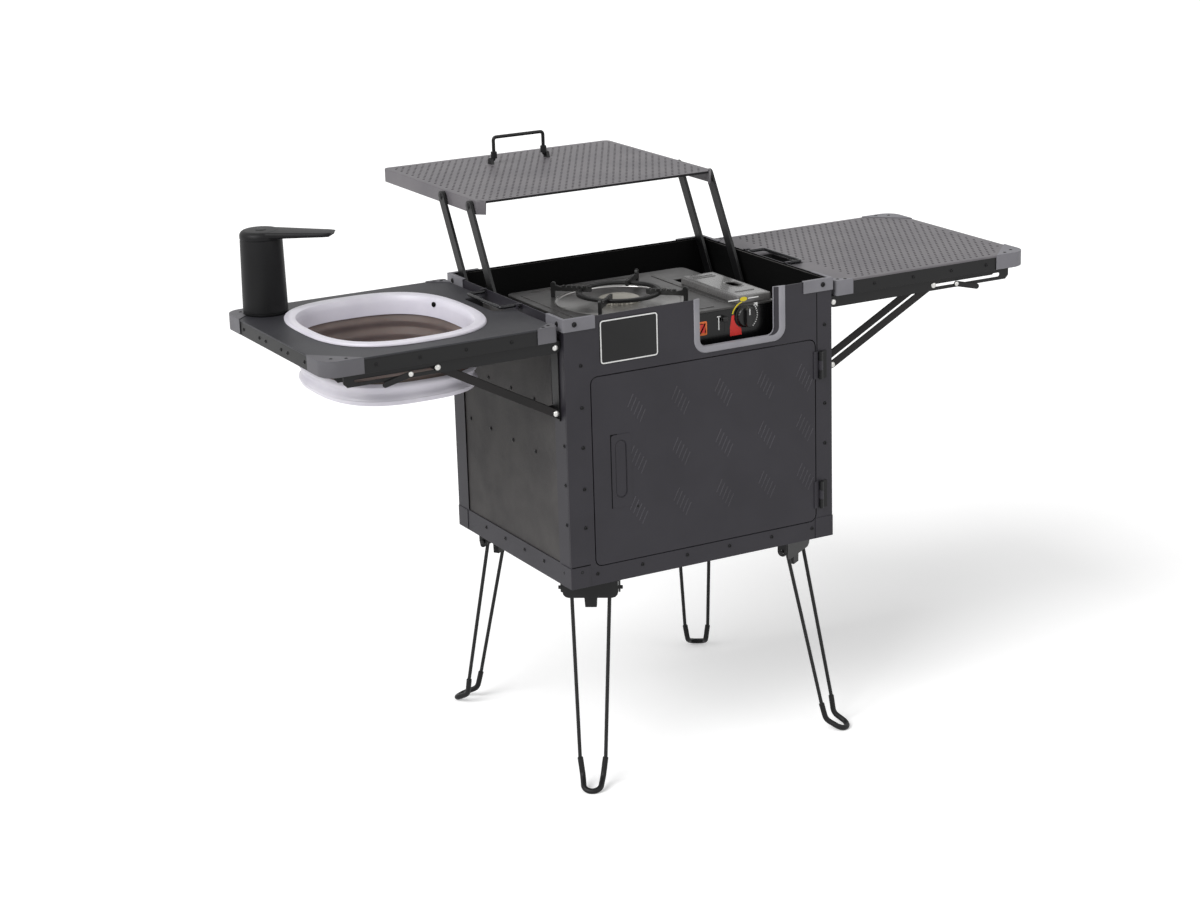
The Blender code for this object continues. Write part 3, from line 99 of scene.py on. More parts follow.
SQUARE = (0.0,) * 4
SUNK = 0.0002  # how far a piece that lies on a sheet goes into it


class Axis(Enum):
    """The direction in which a flat outline is made thick."""

    X = 0
    Y = 1
    Z = 2


# Finishes


def linear(code: str) -> tuple[float, float, float, float]:
    """The linear colour of an sRGB hex value.

    Args:
        code: Six hex digits after a hash.

    Returns:
        Red, green, blue and an alpha of 1.
    """
    parts = [int(code[start : start + 2], 16) / 255 for start in (1, 3, 5)]
    red, green, blue = (p / 12.92 if p <= 0.04045 else ((p + 0.055) / 1.055) ** 2.4 for p in parts)
    return red, green, blue, 1.0


def node(
    tree: bpy.types.NodeTree, kind: str, inputs: dict | None = None, **settings: object
) -> bpy.types.Node:
    """Adds one shader node with its settings, values and links.

    Args:
        tree: The node tree that it joins.
        kind: The node's type without the ShaderNode prefix.
        inputs: Values or output sockets by the name or number of the input.
        **settings: Properties of the node.

    Returns:
        The new node.
    """
    made = tree.nodes.new("ShaderNode" + kind)
    for key, value in settings.items():
        setattr(made, key, value)
    for key, value in (inputs or {}).items():
        if isinstance(value, bpy.types.NodeSocket):
            tree.links.new(value, made.inputs[key])
        else:
            made.inputs[key].default_value = value
    return made


class Grain(Enum):
    """How the relief of a surface is made."""

    PEEL = "soft bumps that touch, as in baked powder"
    SPARK = "separate pits, as an eroded mould leaves"
    BRUSH = "long fine lines in one direction"
    CAST = "lumps of several sizes, as sand leaves"


@dataclass(frozen=True)
class Finish:
    """A real surface: its colour and drift, its gloss and its relief, with sizes in millimetres."""

    name: str
    colour: str
    drift: str
    roughness: float
    grain: Grain = Grain.PEEL
    grain_mm: float = 1.2
    relief_mm: float = 0.03
    drift_mm: float = 70.0
    metallic: float = 0.0
    coat: float = 0.0
    gloss_level: float = 0.35
    soft_mm: float = 0.0
    rough_spread: float = 0.08

    def relief(self, tree: bpy.types.NodeTree, place: bpy.types.NodeSocket) -> bpy.types.NodeSocket:
        """Makes the height of the grain.

        Args:
            tree: The material's node tree.
            place: The object coordinates, in metres.

        Returns:
            The socket that holds the height, from 0 to 1.
        """
        scale = 1 / (self.grain_mm * MM)
        if self.grain is Grain.SPARK:
            pits = node(tree, "TexVoronoi", {"Vector": place, "Scale": scale}, feature="SMOOTH_F1")
            return pits.outputs["Distance"]
        detail = 5.0 if self.grain is Grain.CAST else 2.0
        if self.grain is Grain.BRUSH:
            stretch = node(tree, "Mapping", {"Vector": place, "Scale": (0.04, 1.0, 1.0)})
            place = stretch.outputs["Vector"]
        noise = {"Vector": place, "Scale": scale, "Detail": detail, "Roughness": 0.55}
        return node(tree, "TexNoise", noise).outputs["Fac"]

    def material(self) -> bpy.types.Material:
        """Makes the material once and gives it again after that.

        Returns:
            The node material of this finish.
        """
        found = bpy.data.materials.get(self.name)
        if found:
            return found
        made = bpy.data.materials.new(self.name)
        made.use_nodes = True
        tree = made.node_tree
        shader = tree.nodes["Principled BSDF"]
        place = node(tree, "TexCoord").outputs["Object"]
        wide = {"Vector": place, "Scale": 1 / (self.drift_mm * MM), "Detail": 4.0}
        cloud = node(tree, "TexNoise", wide).outputs["Fac"]
        share = {"Value": cloud, "From Min": 0.35, "From Max": 0.65}
        share = node(tree, "MapRange", share).outputs["Result"]
        blend = {0: share, 6: linear(self.colour), 7: linear(self.drift)}
        colour = node(tree, "Mix", blend, data_type="RGBA").outputs[2]
        height = self.relief(tree, place)
        gloss = {"Value": height, "From Min": 0.2, "From Max": 0.8}
        gloss["To Min"] = self.roughness - self.rough_spread / 2
        gloss["To Max"] = self.roughness + self.rough_spread / 2
        gloss = node(tree, "MapRange", gloss).outputs["Result"]
        bump = {"Height": height, "Strength": 1.0, "Distance": self.relief_mm * MM}
        bump = node(tree, "Bump", bump).outputs["Normal"]
        for socket, value in (("Base Color", colour), ("Roughness", gloss), ("Normal", bump)):
            tree.links.new(value, shader.inputs[socket])
        shader.inputs["Metallic"].default_value = self.metallic
        shader.inputs["Coat Weight"].default_value = self.coat
        shader.inputs["Specular IOR Level"].default_value = self.gloss_level
        if self.soft_mm:
            shader.inputs["Subsurface Weight"].default_value = 0.15
            shader.inputs["Subsurface Scale"].default_value = self.soft_mm * MM
        made.diffuse_color = linear(self.colour)
        return made


# Powder coat baked on aluminium sheet: an even satin skin with a faint orange peel.
CHARCOAL = Finish("powder_coat_charcoal", "#26242a", "#211f25", 0.52)
# The side panels have a coarser wrinkle powder, which scatters more light and looks warmer.
WRINKLE = Finish("powder_coat_wrinkle", "#403e3d", "#343232", 0.72, Grain.PEEL, 2.4, 0.16, 55.0)
# Gloss-free black powder on steel: the peel is finer, and edges still catch the light.
BLACK_COAT = Finish("powder_coat_black", "#0d0d0e", "#0a0a0b", 0.46, Grain.PEEL, 1.0, 0.02, gloss_level=0.3)
# The hollow of the box and its shelf: painted shade, a flat near-black darker than their coat, that hides
# the corners; the front seams, the stove's slot, a strip by the door's pull and the basin's overflow use the
# same black.
BLACK_AND_PAINTED_SHADE = Finish("powder_coat_black_and_painted_shade", "#070707", "#050505", 0.7, Grain.PEEL, 1.4, 0.03, gloss_level=0.08)
# Light grey powder on the pressed sheets of the lid and the right board.
LIGHT_COAT = Finish("powder_coat_light", "#656265", "#5c595d", 0.5)
# The walls and floors of the pressed dots: a darker paint together with painted shade, which stands in for
# the shadow in each dot; the lid's front edge takes the same dark colour as painted shade.
DOT_PAINT_AND_SHADE = Finish("powder_coat_dots_and_painted_shade", "#1b1a1c", "#151416", 0.6, gloss_level=0.15)
# Slate powder on the left board.
SLATE = Finish("powder_coat_slate", "#2c2c30", "#242428", 0.5)
# Glass-filled nylon out of a spark-eroded mould: a dry, even, light grey.
NYLON = Finish("nylon_moulded", "#77767b", "#6c6b70", 0.55, Grain.SPARK, 1.0, 0.03)
# The window's edge trim: a smoother nylon, a little lighter.
TRIM = Finish("nylon_trim", "#8a898e", "#7d7c82", 0.42, Grain.SPARK, 0.8, 0.015)
# Polypropylene: waxy, bright, with light that goes a little way in.
BASIN_WHITE = Finish("polypropylene_moulded", "#dddae2", "#d2cfd9", 0.34, Grain.SPARK, 0.7, 0.01)
# The collapsing wall: silicone rubber, matt and soft-looking.
SILICONE = Finish(
    "silicone_moulded", "#6c5f5a", "#5d524e", 0.6, Grain.SPARK, 1.2, 0.03, soft_mm=2.0
)
# The tap: ABS with a fine texture, which breaks up highlights.
ABS_BLACK = Finish("abs_textured", "#101012", "#0c0c0d", 0.5, Grain.SPARK, 0.7, 0.03, gloss_level=0.2)
# The knob and the lever: phenolic resin, smoother and glossier than ABS.
PHENOLIC = Finish("phenolic_moulded", "#0f0f10", "#0b0b0b", 0.32, Grain.SPARK, 0.6, 0.008)
# The stove's top: dark metallic paint on steel, with long rolling marks under it.
SILVER = Finish("silver_paint_rolled", "#454443", "#343333", 0.34, Grain.BRUSH, 1.6, 0.02, metallic=0.35)
# The drip pan: bright stainless steel with the circles and lines of its pressing.
STAINLESS = Finish("stainless_pressed", "#a9a8a6", "#8f8e8c", 0.3, Grain.BRUSH, 0.9, 0.01, metallic=1.0)
# The stove's case and panel: vitreous enamel, a glassy black.
ENAMEL = Finish(
    "enamel_black", "#0b0b0c", "#080809", 0.24, Grain.PEEL, 3.0, 0.01, gloss_level=0.3, rough_spread=0.04
)
# The can lid: grey enamel with a thin glassy coat.
GREY_ENAMEL = Finish(
    "enamel_grey", "#5d5c5b", "#504f4f", 0.28, Grain.PEEL, 3.0, 0.012, coat=0.3, rough_spread=0.04
)
# The pan support: enamelled cast iron, with sand lumps under the coat.
CAST_IRON = Finish("cast_iron_enamelled", "#0a0a0a", "#0f0f0e", 0.42, Grain.CAST, 2.2, 0.12, gloss_level=0.3)
# The burner: die-cast aluminium, pale and dull from heat.
BURNER_CAST = Finish("aluminium_die_cast", "#b3b0a8", "#9b988f", 0.5, Grain.CAST, 1.5, 0.04, metallic=0.6)
# Rivets and pins: bright zinc plate.
ZINC = Finish("zinc_plated", "#d6d5d2", "#c4c3c0", 0.3, Grain.BRUSH, 0.8, 0.005, metallic=0.7)
# The struts: black-brown oxide on spring steel.
OXIDE = Finish("oxide_black_steel", "#171414", "#110f0f", 0.42, Grain.BRUSH, 1.2, 0.01, metallic=0.3)
# Screws: black oxide, oiled.
SCREW_BLACK = Finish("screw_black_oxide", "#080809", "#0d0d0f", 0.4, Grain.CAST, 0.6, 0.01, gloss_level=0.25)
# The leg sleeves: soft PVC, matt with a faint sheen.
SLEEVE = Finish("pvc_sleeve", "#0b0b0c", "#0f0f10", 0.5, Grain.SPARK, 0.9, 0.02, gloss_level=0.25)
# Screen-printed inks on the stove and the plate: flat colour, slightly thick.
INK_WHITE = Finish("ink_white", "#dfdfde", "#d4d4d3", 0.45, Grain.PEEL, 0.8, 0.01)
INK_RED = Finish("ink_red", "#d8352e", "#cc2d29", 0.45, Grain.PEEL, 0.8, 0.01)
INK_YELLOW = Finish("ink_yellow", "#d9c62c", "#cdb926", 0.45, Grain.PEEL, 0.8, 0.01)
INK_ORANGE = Finish("ink_orange", "#ee7d3a", "#e2622f", 0.45, Grain.PEEL, 0.8, 0.01)
# The strokes on the door, coloured a little lighter than the powder round them.
STROKE_COAT = Finish("powder_coat_lighter_strokes", "#39373d", "#302e33", 0.42)
# The left board's caps: the same nylon, moulded darker.
CAP_DARK = Finish("nylon_moulded_dark", "#5f5e62", "#555458", 0.55, Grain.SPARK, 1.0, 0.03)
# The side handles: black chrome, which shows pale glints along the rod.
HANDLE_COAT = Finish("black_chrome_rod", "#2a2a2c", "#232325", 0.26, Grain.BRUSH, 1.0, 0.005, metallic=0.5)
# The blank plate: black lacquer on aluminium.
PLATE_BLACK = Finish("lacquer_black", "#0e0e0f", "#0b0b0c", 0.4, Grain.PEEL, 2.0, 0.008, gloss_level=0.3)


# Outlines


def arc(centre: Point, radius: float, start: float, end: float, steps: int = 6) -> Outline:
    """Points on an arc.

    Args:
        centre: The middle of the arc.
        radius: Its radius.
        start: The first angle in degrees.
        end: The last angle in degrees.
        steps: How many chords it has.

    Returns:
        The points, both ends included.
    """
    turns = [math.radians(start + (end - start) * step / steps) for step in range(steps + 1)]
    return [(centre[0] + radius * math.cos(t), centre[1] + radius * math.sin(t)) for t in turns]


def circle(centre: Point, radius: float, count: int = 32) -> Outline:
    """A full circle without its first point repeated."""
    return arc(centre, radius, 0, 360, count)[:-1]


def rounded(
    left: float, right: float, low: float, high: float, radii: Sequence[float], steps: int = 6
) -> Outline:
    """A rectangle with round corners, counter-clockwise from the low left one.

    Args:
        left: Lowest first coordinate.
        right: Highest first coordinate.
        low: Lowest second coordinate.
        high: Highest second coordinate.
        radii: The four radii, from the low left corner to the high left one.
        steps: Chords for each corner.

    Returns:
        The outline.
    """
    corners = ((left, low, 1, 1, 180), (right, low, -1, 1, 270))
    corners += ((right, high, -1, -1, 0), (left, high, 1, -1, 90))
    points: Outline = []
    for (x, y, way_x, way_y, start), radius in zip(corners, radii):
        if radius:
            centre = (x + way_x * radius, y + way_y * radius)
            points += arc(centre, radius, start, start + 90, steps)
        else:
            points.append((x, y))
    return points


def stadium(first: Point, second: Point, radius: float, steps: int = 6) -> Outline:
    """A bar with round ends.

    Args:
        first: The centre of one end.
        second: The centre of the other.
        radius: Half the width.
        steps: Chords for each quarter.

    Returns:
        The outline, counter-clockwise.
    """
    turn = math.degrees(math.atan2(second[1] - first[1], second[0] - first[0]))
    points = arc(first, radius, turn + 90, turn + 270, 2 * steps)
    return points + arc(second, radius, turn - 90, turn + 90, 2 * steps)


def superellipse(centre: Point, half: Point, power: float, count: int = 96) -> Outline:
    """The outline between an ellipse and a rectangle.

    Args:
        centre: Its middle.
        half: Its two half sizes.
        power: 2 for an ellipse and more for squarer corners.
        count: How many points it has.

    Returns:
        The outline, counter-clockwise.
    """
    points: Outline = []
    for step in range(count):
        angle = 2 * math.pi * step / count
        pair = []
        for middle, size, share in zip(centre, half, (math.cos(angle), math.sin(angle))):
            pair.append(middle + size * math.copysign(abs(share) ** (2 / power), share))
        points.append((pair[0], pair[1]))
    return points


def inset(outline: Outline, margin: float) -> Outline:
    """The outline drawn inwards by a margin, or outwards by a negative one.

    Args:
        outline: A counter-clockwise outline.
        margin: The distance.

    Returns:
        The new outline, with as many points.
    """
    points: Outline = []
    for index, here in enumerate(outline):
        here = Vector(here)
        before = (here - Vector(outline[index - 1])).normalized()
        after = (Vector(outline[(index + 1) % len(outline)]) - here).normalized()
        first, second = Vector((-before.y, before.x)), Vector((-after.y, after.x))
        moved = here + (first + second) / (1 + first.dot(second)) * margin
        points.append((moved.x, moved.y))
    return points


def mirrored(outline: Outline, side: int) -> Outline:
    """The outline as it is for side 1, and its mirror image for side -1."""
    return outline if side > 0 else [(-x, y) for x, y in reversed(outline)]


# Shapes


def lifted(point: Point, axis: Axis, height: float) -> Vector:
    """The 3-D point of a plane point at a height along an axis."""
    values = list(point)
    values.insert(axis.value, height)
    return Vector(values)


def levels(rows: Iterable[tuple[Outline, float]]) -> list[Ring]:
    """Level rings from outlines and their heights."""
    return [[Vector((x, y, z)) for x, y in outline] for outline, z in rows]


def loft(rings: Sequence[Iterable[Point]], closed: bool = False, capped: bool = True) -> bmesh.types.BMesh:
    """A skin through rings with as many points each.

    Args:
        rings: The rings in order.
        closed: Whether the last ring joins the first.
        capped: Whether the end rings are filled.

    Returns:
        The shape.
    """
    bm = bmesh.new()
    loops = [[bm.verts.new(point) for point in ring] for ring in rings]
    spans = list(zip(loops, loops[1:])) + ([(loops[-1], loops[0])] if closed else [])
    for low, high in spans:
        for here in range(len(low)):
            there = (here + 1) % len(low)
            bm.faces.new((low[here], low[there], high[there], high[here]))
    if capped and not closed:
        bm.faces.new(loops[0][::-1])
        bm.faces.new(loops[-1])
    return bm


def plate(
    outline: Outline, axis: Axis, start: float, end: float, holes: Sequence[Outline] = ()
) -> bmesh.types.BMesh:
    """A flat plate of any outline.

    Args:
        outline: Its edge.
        axis: The direction of its thickness.
        start: Where it starts on that axis.
        end: Where it ends.
        holes: The edges of its holes.

    Returns:
        The shape.
    """
    bm = bmesh.new()
    edges = []
    for loop in (outline, *holes):
        verts = [bm.verts.new(lifted(point, axis, start)) for point in loop]
        edges += [bm.edges.new(pair) for pair in zip(verts, verts[1:] + verts[:1])]
    if holes:
        bmesh.ops.triangle_fill(bm, edges=edges, use_beauty=True)
        bmesh.ops.dissolve_limit(bm, angle_limit=0.01, verts=bm.verts, edges=bm.edges)
    else:
        bm.faces.new(bm.verts)
    grown = bmesh.ops.extrude_face_region(bm, geom=bm.faces[:])
    moved = [item for item in grown["geom"] if isinstance(item, bmesh.types.BMVert)]
    bmesh.ops.translate(bm, vec=lifted((0, 0), axis, end - start), verts=moved)
    return bm


def cushion(
    outline: Outline, axis: Axis, start: float, end: float, edge: float, steps: int = 3
) -> bmesh.types.BMesh:
    """A plate whose far face has a rounded edge.

    Args:
        outline: Its edge.
        axis: The direction of its thickness.
        start: The plane of its square face.
        end: The plane of its rounded face.
        edge: The radius of the rounding.
        steps: Chords of the rounding.

    Returns:
        The shape.
    """
    way = math.copysign(1, end - start)
    rings = [[lifted(point, axis, start) for point in outline]]
    for step in range(steps + 1):
        turn = math.pi / 2 * step / steps
        margin, height = edge * (1 - math.cos(turn)), edge * (1 - math.sin(turn))
        rings.append([lifted(p, axis, end - way * height) for p in inset(outline, margin)])
    return loft(rings)


def bent(points: Rows, cut: float, steps: int = 6) -> list[Vector]:
    """A path with its corners rounded.

    Args:
        points: The corners of the path.
        cut: How far before and after a corner the rounding goes.
        steps: Chords for each corner.

    Returns:
        The points of the path.
    """
    corners = [Vector(point) for point in points]
    path = [corners[0]]
    for before, corner, after in zip(corners, corners[1:], corners[2:]):
        start = corner + (before - corner).normalized() * cut
        end = corner + (after - corner).normalized() * cut
        for step in range(steps + 1):
            t = step / steps
            path.append(start * (1 - t) ** 2 + corner * 2 * t * (1 - t) + end * t**2)
    return path + [corners[-1]]


def tube(path: Sequence[Vector], radius: float, sides: int = 16, tip: float = 0.0) -> bmesh.types.BMesh:
    """A round bar along a path.

    Args:
        path: The points that it follows.
        radius: Its radius.
        sides: How many sides it has.
        tip: How far its ends are rounded.

    Returns:
        The shape.
    """
    points = [Vector(point) for point in path]
    radii = [radius] * len(points)
    if tip:
        start, end = (points[1] - points[0]).normalized(), (points[-2] - points[-1]).normalized()
        points = [points[0], points[0] + start * tip, *points[1:-1], points[-1] + end * tip, points[-1]]
        radii = [radius - tip, radius, *radii[1:-1], radius, radius - tip]
    normal = (points[1] - points[0]).orthogonal()
    rings = []
    for index, (point, size) in enumerate(zip(points, radii)):
        after, before = points[min(index + 1, len(points) - 1)], points[max(index - 1, 0)]
        along = (after - before).normalized()
        normal = (normal - along * normal.dot(along)).normalized()
        side = along.cross(normal)
        turns = [2 * math.pi * (step + 0.5) / sides for step in range(sides)]
        rings.append([point + (normal * math.cos(t) + side * math.sin(t)) * size for t in turns])
    return loft(rings)


def turned(profile: Rows, count: int = 32) -> bmesh.types.BMesh:
    """A shape turned about Z from its profile.

    Args:
        profile: Radius and height pairs from one end to the other.
        count: How many sides it has.

    Returns:
        The shape, on the Z axis.
    """
    return loft([[(x, y, z) for x, y in circle((0, 0), radius, count)] for radius, z in profile])


def moved(shape: bmesh.types.BMesh, place: Point, direction: Point = (0, 0, 1)) -> bmesh.types.BMesh:
    """The shape with its Z axis turned to a direction and its origin put at a place.

    Args:
        shape: The shape, which is changed.
        place: Where its origin goes.
        direction: Where its Z axis points.

    Returns:
        The same shape.
    """
    turn = Vector((0, 0, 1)).rotation_difference(Vector(direction)).to_matrix().to_4x4()
    bmesh.ops.transform(shape, matrix=Matrix.Translation(Vector(place)) @ turn, verts=shape.verts)
    return shape


def joined(shapes: Iterable[bmesh.types.BMesh]) -> bmesh.types.BMesh:
    """Puts several shapes into one.

    Args:
        shapes: The shapes, which are freed.

    Returns:
        One shape that holds them all.
    """
    whole = bmesh.new()
    for shape in shapes:
        loose = bpy.data.meshes.new("loose")
        bmesh.ops.recalc_face_normals(shape, faces=shape.faces)
        shape.to_mesh(loose)
        shape.free()
        whole.from_mesh(loose)
        bpy.data.meshes.remove(loose)
    return whole


def screw(radius: float, rise: float) -> bmesh.types.BMesh:
    """A domed screw head with a six-sided socket.

    Args:
        radius: The head's radius.
        rise: The head's height.

    Returns:
        The head, standing on the origin along Z.
    """
    socket = []
    for step in range(12):
        reach = radius * (0.5 if step % 2 else 0.45)
        angle = math.radians(30 * step)
        socket.append((reach * math.cos(angle), reach * math.sin(angle)))
    rings = [[(x, y, z) for x, y in circle((0, 0), radius * share, 12)] for share, z in
             ((1.0, -0.2 * rise), (1.0, 0.35 * rise), (0.9, 0.8 * rise), (0.68, rise))]
    rings += [[(x, y, z) for x, y in socket] for z in (rise, 0.25 * rise)]
    return loft(rings)


def rivet(radius: float, rise: float) -> bmesh.types.BMesh:
    """A low domed rivet head.

    Args:
        radius: The head's radius.
        rise: The head's height.

    Returns:
        The head, standing on the origin along Z.
    """
    turns = [math.radians(15 * step) for step in range(6)]
    profile = [(radius, -0.3 * rise)]
    profile += [(radius * math.cos(turn), rise * math.sin(turn)) for turn in turns]
    return turned(profile, 20)


# Pieces


def body_of(name: str) -> str:
    """The body that a CAD node rides on."""
    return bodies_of(frame["nodes"][name])[0]


def span(name: str) -> tuple[Vector, Vector]:
    """The lowest and the highest corner of a CAD node, in box coordinates."""
    low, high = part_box(name)
    return low - ORIGIN, high - ORIGIN


def centre_of(low: Vector, high: Vector) -> tuple[float, float]:
    """The middle of a box, seen from above."""
    return (low.x + high.x) / 2, (low.y + high.y) / 2


def piece(
    name: str,
    shape: bmesh.types.BMesh,
    finishes: Finish | Sequence[Finish],
    body: str,
    edge_mm: float = 0.0,
    replaces: Sequence[str] = (),
) -> bpy.types.Object:
    """Makes one piece from a shape in box coordinates and lets it ride on its body.

    Args:
        name: The piece's name.
        shape: Its shape, which is freed.
        finishes: Its finish, or several by the material numbers of its faces.
        body: The CAD body that it rides on.
        edge_mm: The size of the rounding on its sharp edges, or 0 for none.
        replaces: The CAD nodes that it stands for.

    Returns:
        The new object.
    """
    bmesh.ops.recalc_face_normals(shape, faces=shape.faces)
    mesh = bpy.data.meshes.new(name)
    shape.to_mesh(mesh)
    shape.free()
    if "custom_normal" in mesh.attributes:
        mesh.attributes.remove(mesh.attributes["custom_normal"])
    mesh.transform(Matrix.Translation(ORIGIN))
    mesh.shade_smooth()
    mesh.set_sharp_from_angle(angle=math.radians(33))
    for finish in [finishes] if isinstance(finishes, Finish) else finishes:
        mesh.materials.append(finish.material())
    obj = bpy.data.objects.new(name, mesh)
    bpy.context.scene.collection.objects.link(obj)
    if edge_mm:
        edge = obj.modifiers.new("Edge", "BEVEL")
        edge.width, edge.segments, edge.limit_method = edge_mm * MM, 2, "ANGLE"
        edge.angle_limit = math.radians(33)
        edge.harden_normals = True
    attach(obj, body)
    if replaces:
        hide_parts(*replaces)
    LOG.info("made %s on %s", name, body)
    return obj


def cad_shape(name: str) -> bmesh.types.BMesh:
    """The shape of a CAD node, with its flat faces whole again.

    Args:
        name: The node's name.

    Returns:
        A copy of its shape in box coordinates.
    """
    bm = bmesh.new()
    bm.from_mesh(frame["nodes"][name].data)
    bmesh.ops.remove_doubles(bm, verts=bm.verts, dist=0.002 * MM)
    bmesh.ops.dissolve_limit(bm, angle_limit=0.01, verts=bm.verts, edges=bm.edges)
    for face in bm.faces:
        face.material_index = 0
    bmesh.ops.translate(bm, vec=-ORIGIN, verts=bm.verts)
    return bm


def refined(
    name: str, finish: Finish, edge_mm: float = 0.4, inside: Finish | None = None
) -> bpy.types.Object:
    """A piece with the shape of a CAD node and rounded edges, which stands for it.

    Args:
        name: The node's name.
        finish: The finish.
        edge_mm: The size of the rounding.
        inside: The finish of the faces that look into the box, where it differs; it paints the shade of the
            box's hollow.

    Returns:
        The new object.
    """
    shape = cad_shape(name)
    if inside:
        bmesh.ops.recalc_face_normals(shape, faces=shape.faces)
        for face in shape.faces:
            middle = face.calc_center_median()
            # Faces that look into the box take the second finish, which paints their shade.
            if face.normal.x * middle.x + face.normal.y * middle.y < -0.15:
                face.material_index = 1
    finishes = (finish, inside) if inside else finish
    return piece(name + "_dressed", shape, finishes, body_of(name), edge_mm, [name])


def heads(
    name: str, head: Callable[[], bmesh.types.BMesh], places: Iterable[Point], direction: Point,
    finish: Finish, body: str,
) -> bpy.types.Object:
    """One piece that holds a row of screw or rivet heads.

    Args:
        name: The piece's name.
        head: Makes one head on the origin along Z.
        places: Where the heads stand.
        direction: Where they all point.
        finish: Their finish.
        body: The body that they ride on.

    Returns:
        The new object.
    """
    shape = joined(moved(head(), place, direction) for place in places)
    return piece(name, shape, finish, body)


SIDES = {"l": -1, "r": 1}
ENDS = {"f": -1, "b": 1}
ROD_TIP = 0.0006  # the rounding at the ends of bent rods


@dataclass
class Studio:
    """The floor, the lamps and the camera. The camera's place was fitted to the photograph."""

    azimuth: float = -28.62
    elevation: float = 16.682
    roll: float = -1.7026
    distance: float = 4.286
    across: float = -0.0681
    upward: float = -0.0590
    aim_height: float = 0.200
    focal: float = 2647.8
    picture_width: int = 1200
    sensor: float = 36.0
    floor_half: float = 20.0
    sky: float = 0.42
    key_strength: float = 2.6
    key_from: Point = (-0.75, -0.25, 0.66)
    fill_strength: float = 0.45
    fill_from: Point = (0.45, -0.85, 0.45)
    lamp_angle: float = 38.0

    def camera(self) -> None:
        """Makes the camera at the photograph's angle."""
        turn, rise = math.radians(self.azimuth), math.radians(self.elevation)
        roll = math.radians(self.roll)
        back = Vector((math.sin(turn) * math.cos(rise), -math.cos(turn) * math.cos(rise), math.sin(rise)))
        right = Vector((math.cos(turn), math.sin(turn), 0))
        up = back.cross(right)
        target = ORIGIN + Vector((0, 0, self.aim_height)) + self.across * right + self.upward * up
        level = math.cos(roll) * right + math.sin(roll) * up
        top = math.cos(roll) * up - math.sin(roll) * right
        data = bpy.data.cameras.new("camera")
        data.sensor_width = self.sensor
        data.lens = self.focal / self.picture_width * self.sensor
        camera = bpy.data.objects.new("camera", data)
        camera.matrix_world = Matrix.Translation(target + back * self.distance) @ Matrix(
            (level, top, back)
        ).transposed().to_4x4()
        bpy.context.scene.collection.objects.link(camera)
        bpy.context.scene.camera = camera

    def lamp(self, name: str, toward: Point, strength: float) -> None:
        """Adds a soft lamp far away, which lights the object and the floor evenly.

        Args:
            name: The lamp's name.
            toward: The direction from the box to the lamp.
            strength: Its strength.
        """
        data = bpy.data.lights.new(name, "SUN")
        data.energy, data.angle = strength, math.radians(self.lamp_angle)
        lamp = bpy.data.objects.new(name, data)
        lamp.location = Vector(toward).normalized() * self.distance
        lamp.rotation_mode = "QUATERNION"
        lamp.rotation_quaternion = Vector(toward).to_track_quat("Z", "Y")
        bpy.context.scene.collection.objects.link(lamp)

    def floor(self) -> None:
        """Makes the pale floor, which looks white to the eye and in gloss and keeps the shadow."""
        half = self.floor_half
        bm = loft([[(-half, -half, 0), (half, -half, 0), (half, half, 0), (-half, half, 0)]], capped=False)
        bm.faces.new(bm.verts)
        mesh = bpy.data.meshes.new("floor")
        bm.to_mesh(mesh)
        bm.free()
        made = bpy.data.materials.new("floor_paper")
        made.use_nodes = True
        tree = made.node_tree
        shader = tree.nodes["Principled BSDF"]
        place = node(tree, "TexCoord").outputs["Object"]
        fibre = node(tree, "TexNoise", {"Vector": place, "Scale": 400.0, "Detail": 3.0}).outputs["Fac"]
        pair = {0: fibre, 6: linear("#f4f4f4"), 7: linear("#f1f1f1")}
        paper = node(tree, "Mix", pair, data_type="RGBA").outputs[2]
        tree.links.new(paper, shader.inputs["Base Color"])
        shader.inputs["Roughness"].default_value = 0.9
        shader.inputs["Specular IOR Level"].default_value = 0.0
        path = node(tree, "LightPath").outputs
        seen = path["Is Camera Ray"]
        for name in ("Is Glossy Ray", "Is Transmission Ray"):
            seen = node(tree, "Math", {0: seen, 1: path[name]}, operation="MAXIMUM").outputs[0]
        glow = node(tree, "Math", {0: seen, 1: 0.30}, operation="MULTIPLY").outputs[0]
        tree.links.new(glow, shader.inputs["Emission Strength"])
        shader.inputs["Emission Color"].default_value = (1.0, 1.0, 1.0, 1.0)
        mesh.materials.append(made)
        obj = bpy.data.objects.new("floor", mesh)
        bpy.context.scene.collection.objects.link(obj)

    def world(self) -> None:
        """Makes the sky: white to the eye, and an even soft light on the object."""
        world = bpy.data.worlds.new("studio")
        world.use_nodes = True
        tree = world.node_tree
        tree.nodes.clear()
        path = node(tree, "LightPath").outputs
        seen = path["Is Camera Ray"]
        for name in ("Is Glossy Ray", "Is Transmission Ray"):
            seen = node(tree, "Math", {0: seen, 1: path[name]}, operation="MAXIMUM").outputs[0]
        dim = node(tree, "Background", {"Color": (1, 1, 1, 1), "Strength": self.sky}).outputs[0]
        white = node(tree, "Background", {"Color": (1, 1, 1, 1), "Strength": 1.0}).outputs[0]
        both = node(tree, "MixShader", {0: seen, 1: dim, 2: white}).outputs[0]
        node(tree, "OutputWorld", {"Surface": both})
        bpy.context.scene.world = world

    def build(self) -> None:
        """Makes the whole studio."""
        self.camera()
        self.floor()
        self.world()
        self.lamp("key", self.key_from, self.key_strength)
        self.lamp("fill", self.fill_from, self.fill_strength)
        bpy.context.scene.view_settings.view_transform = "Standard"


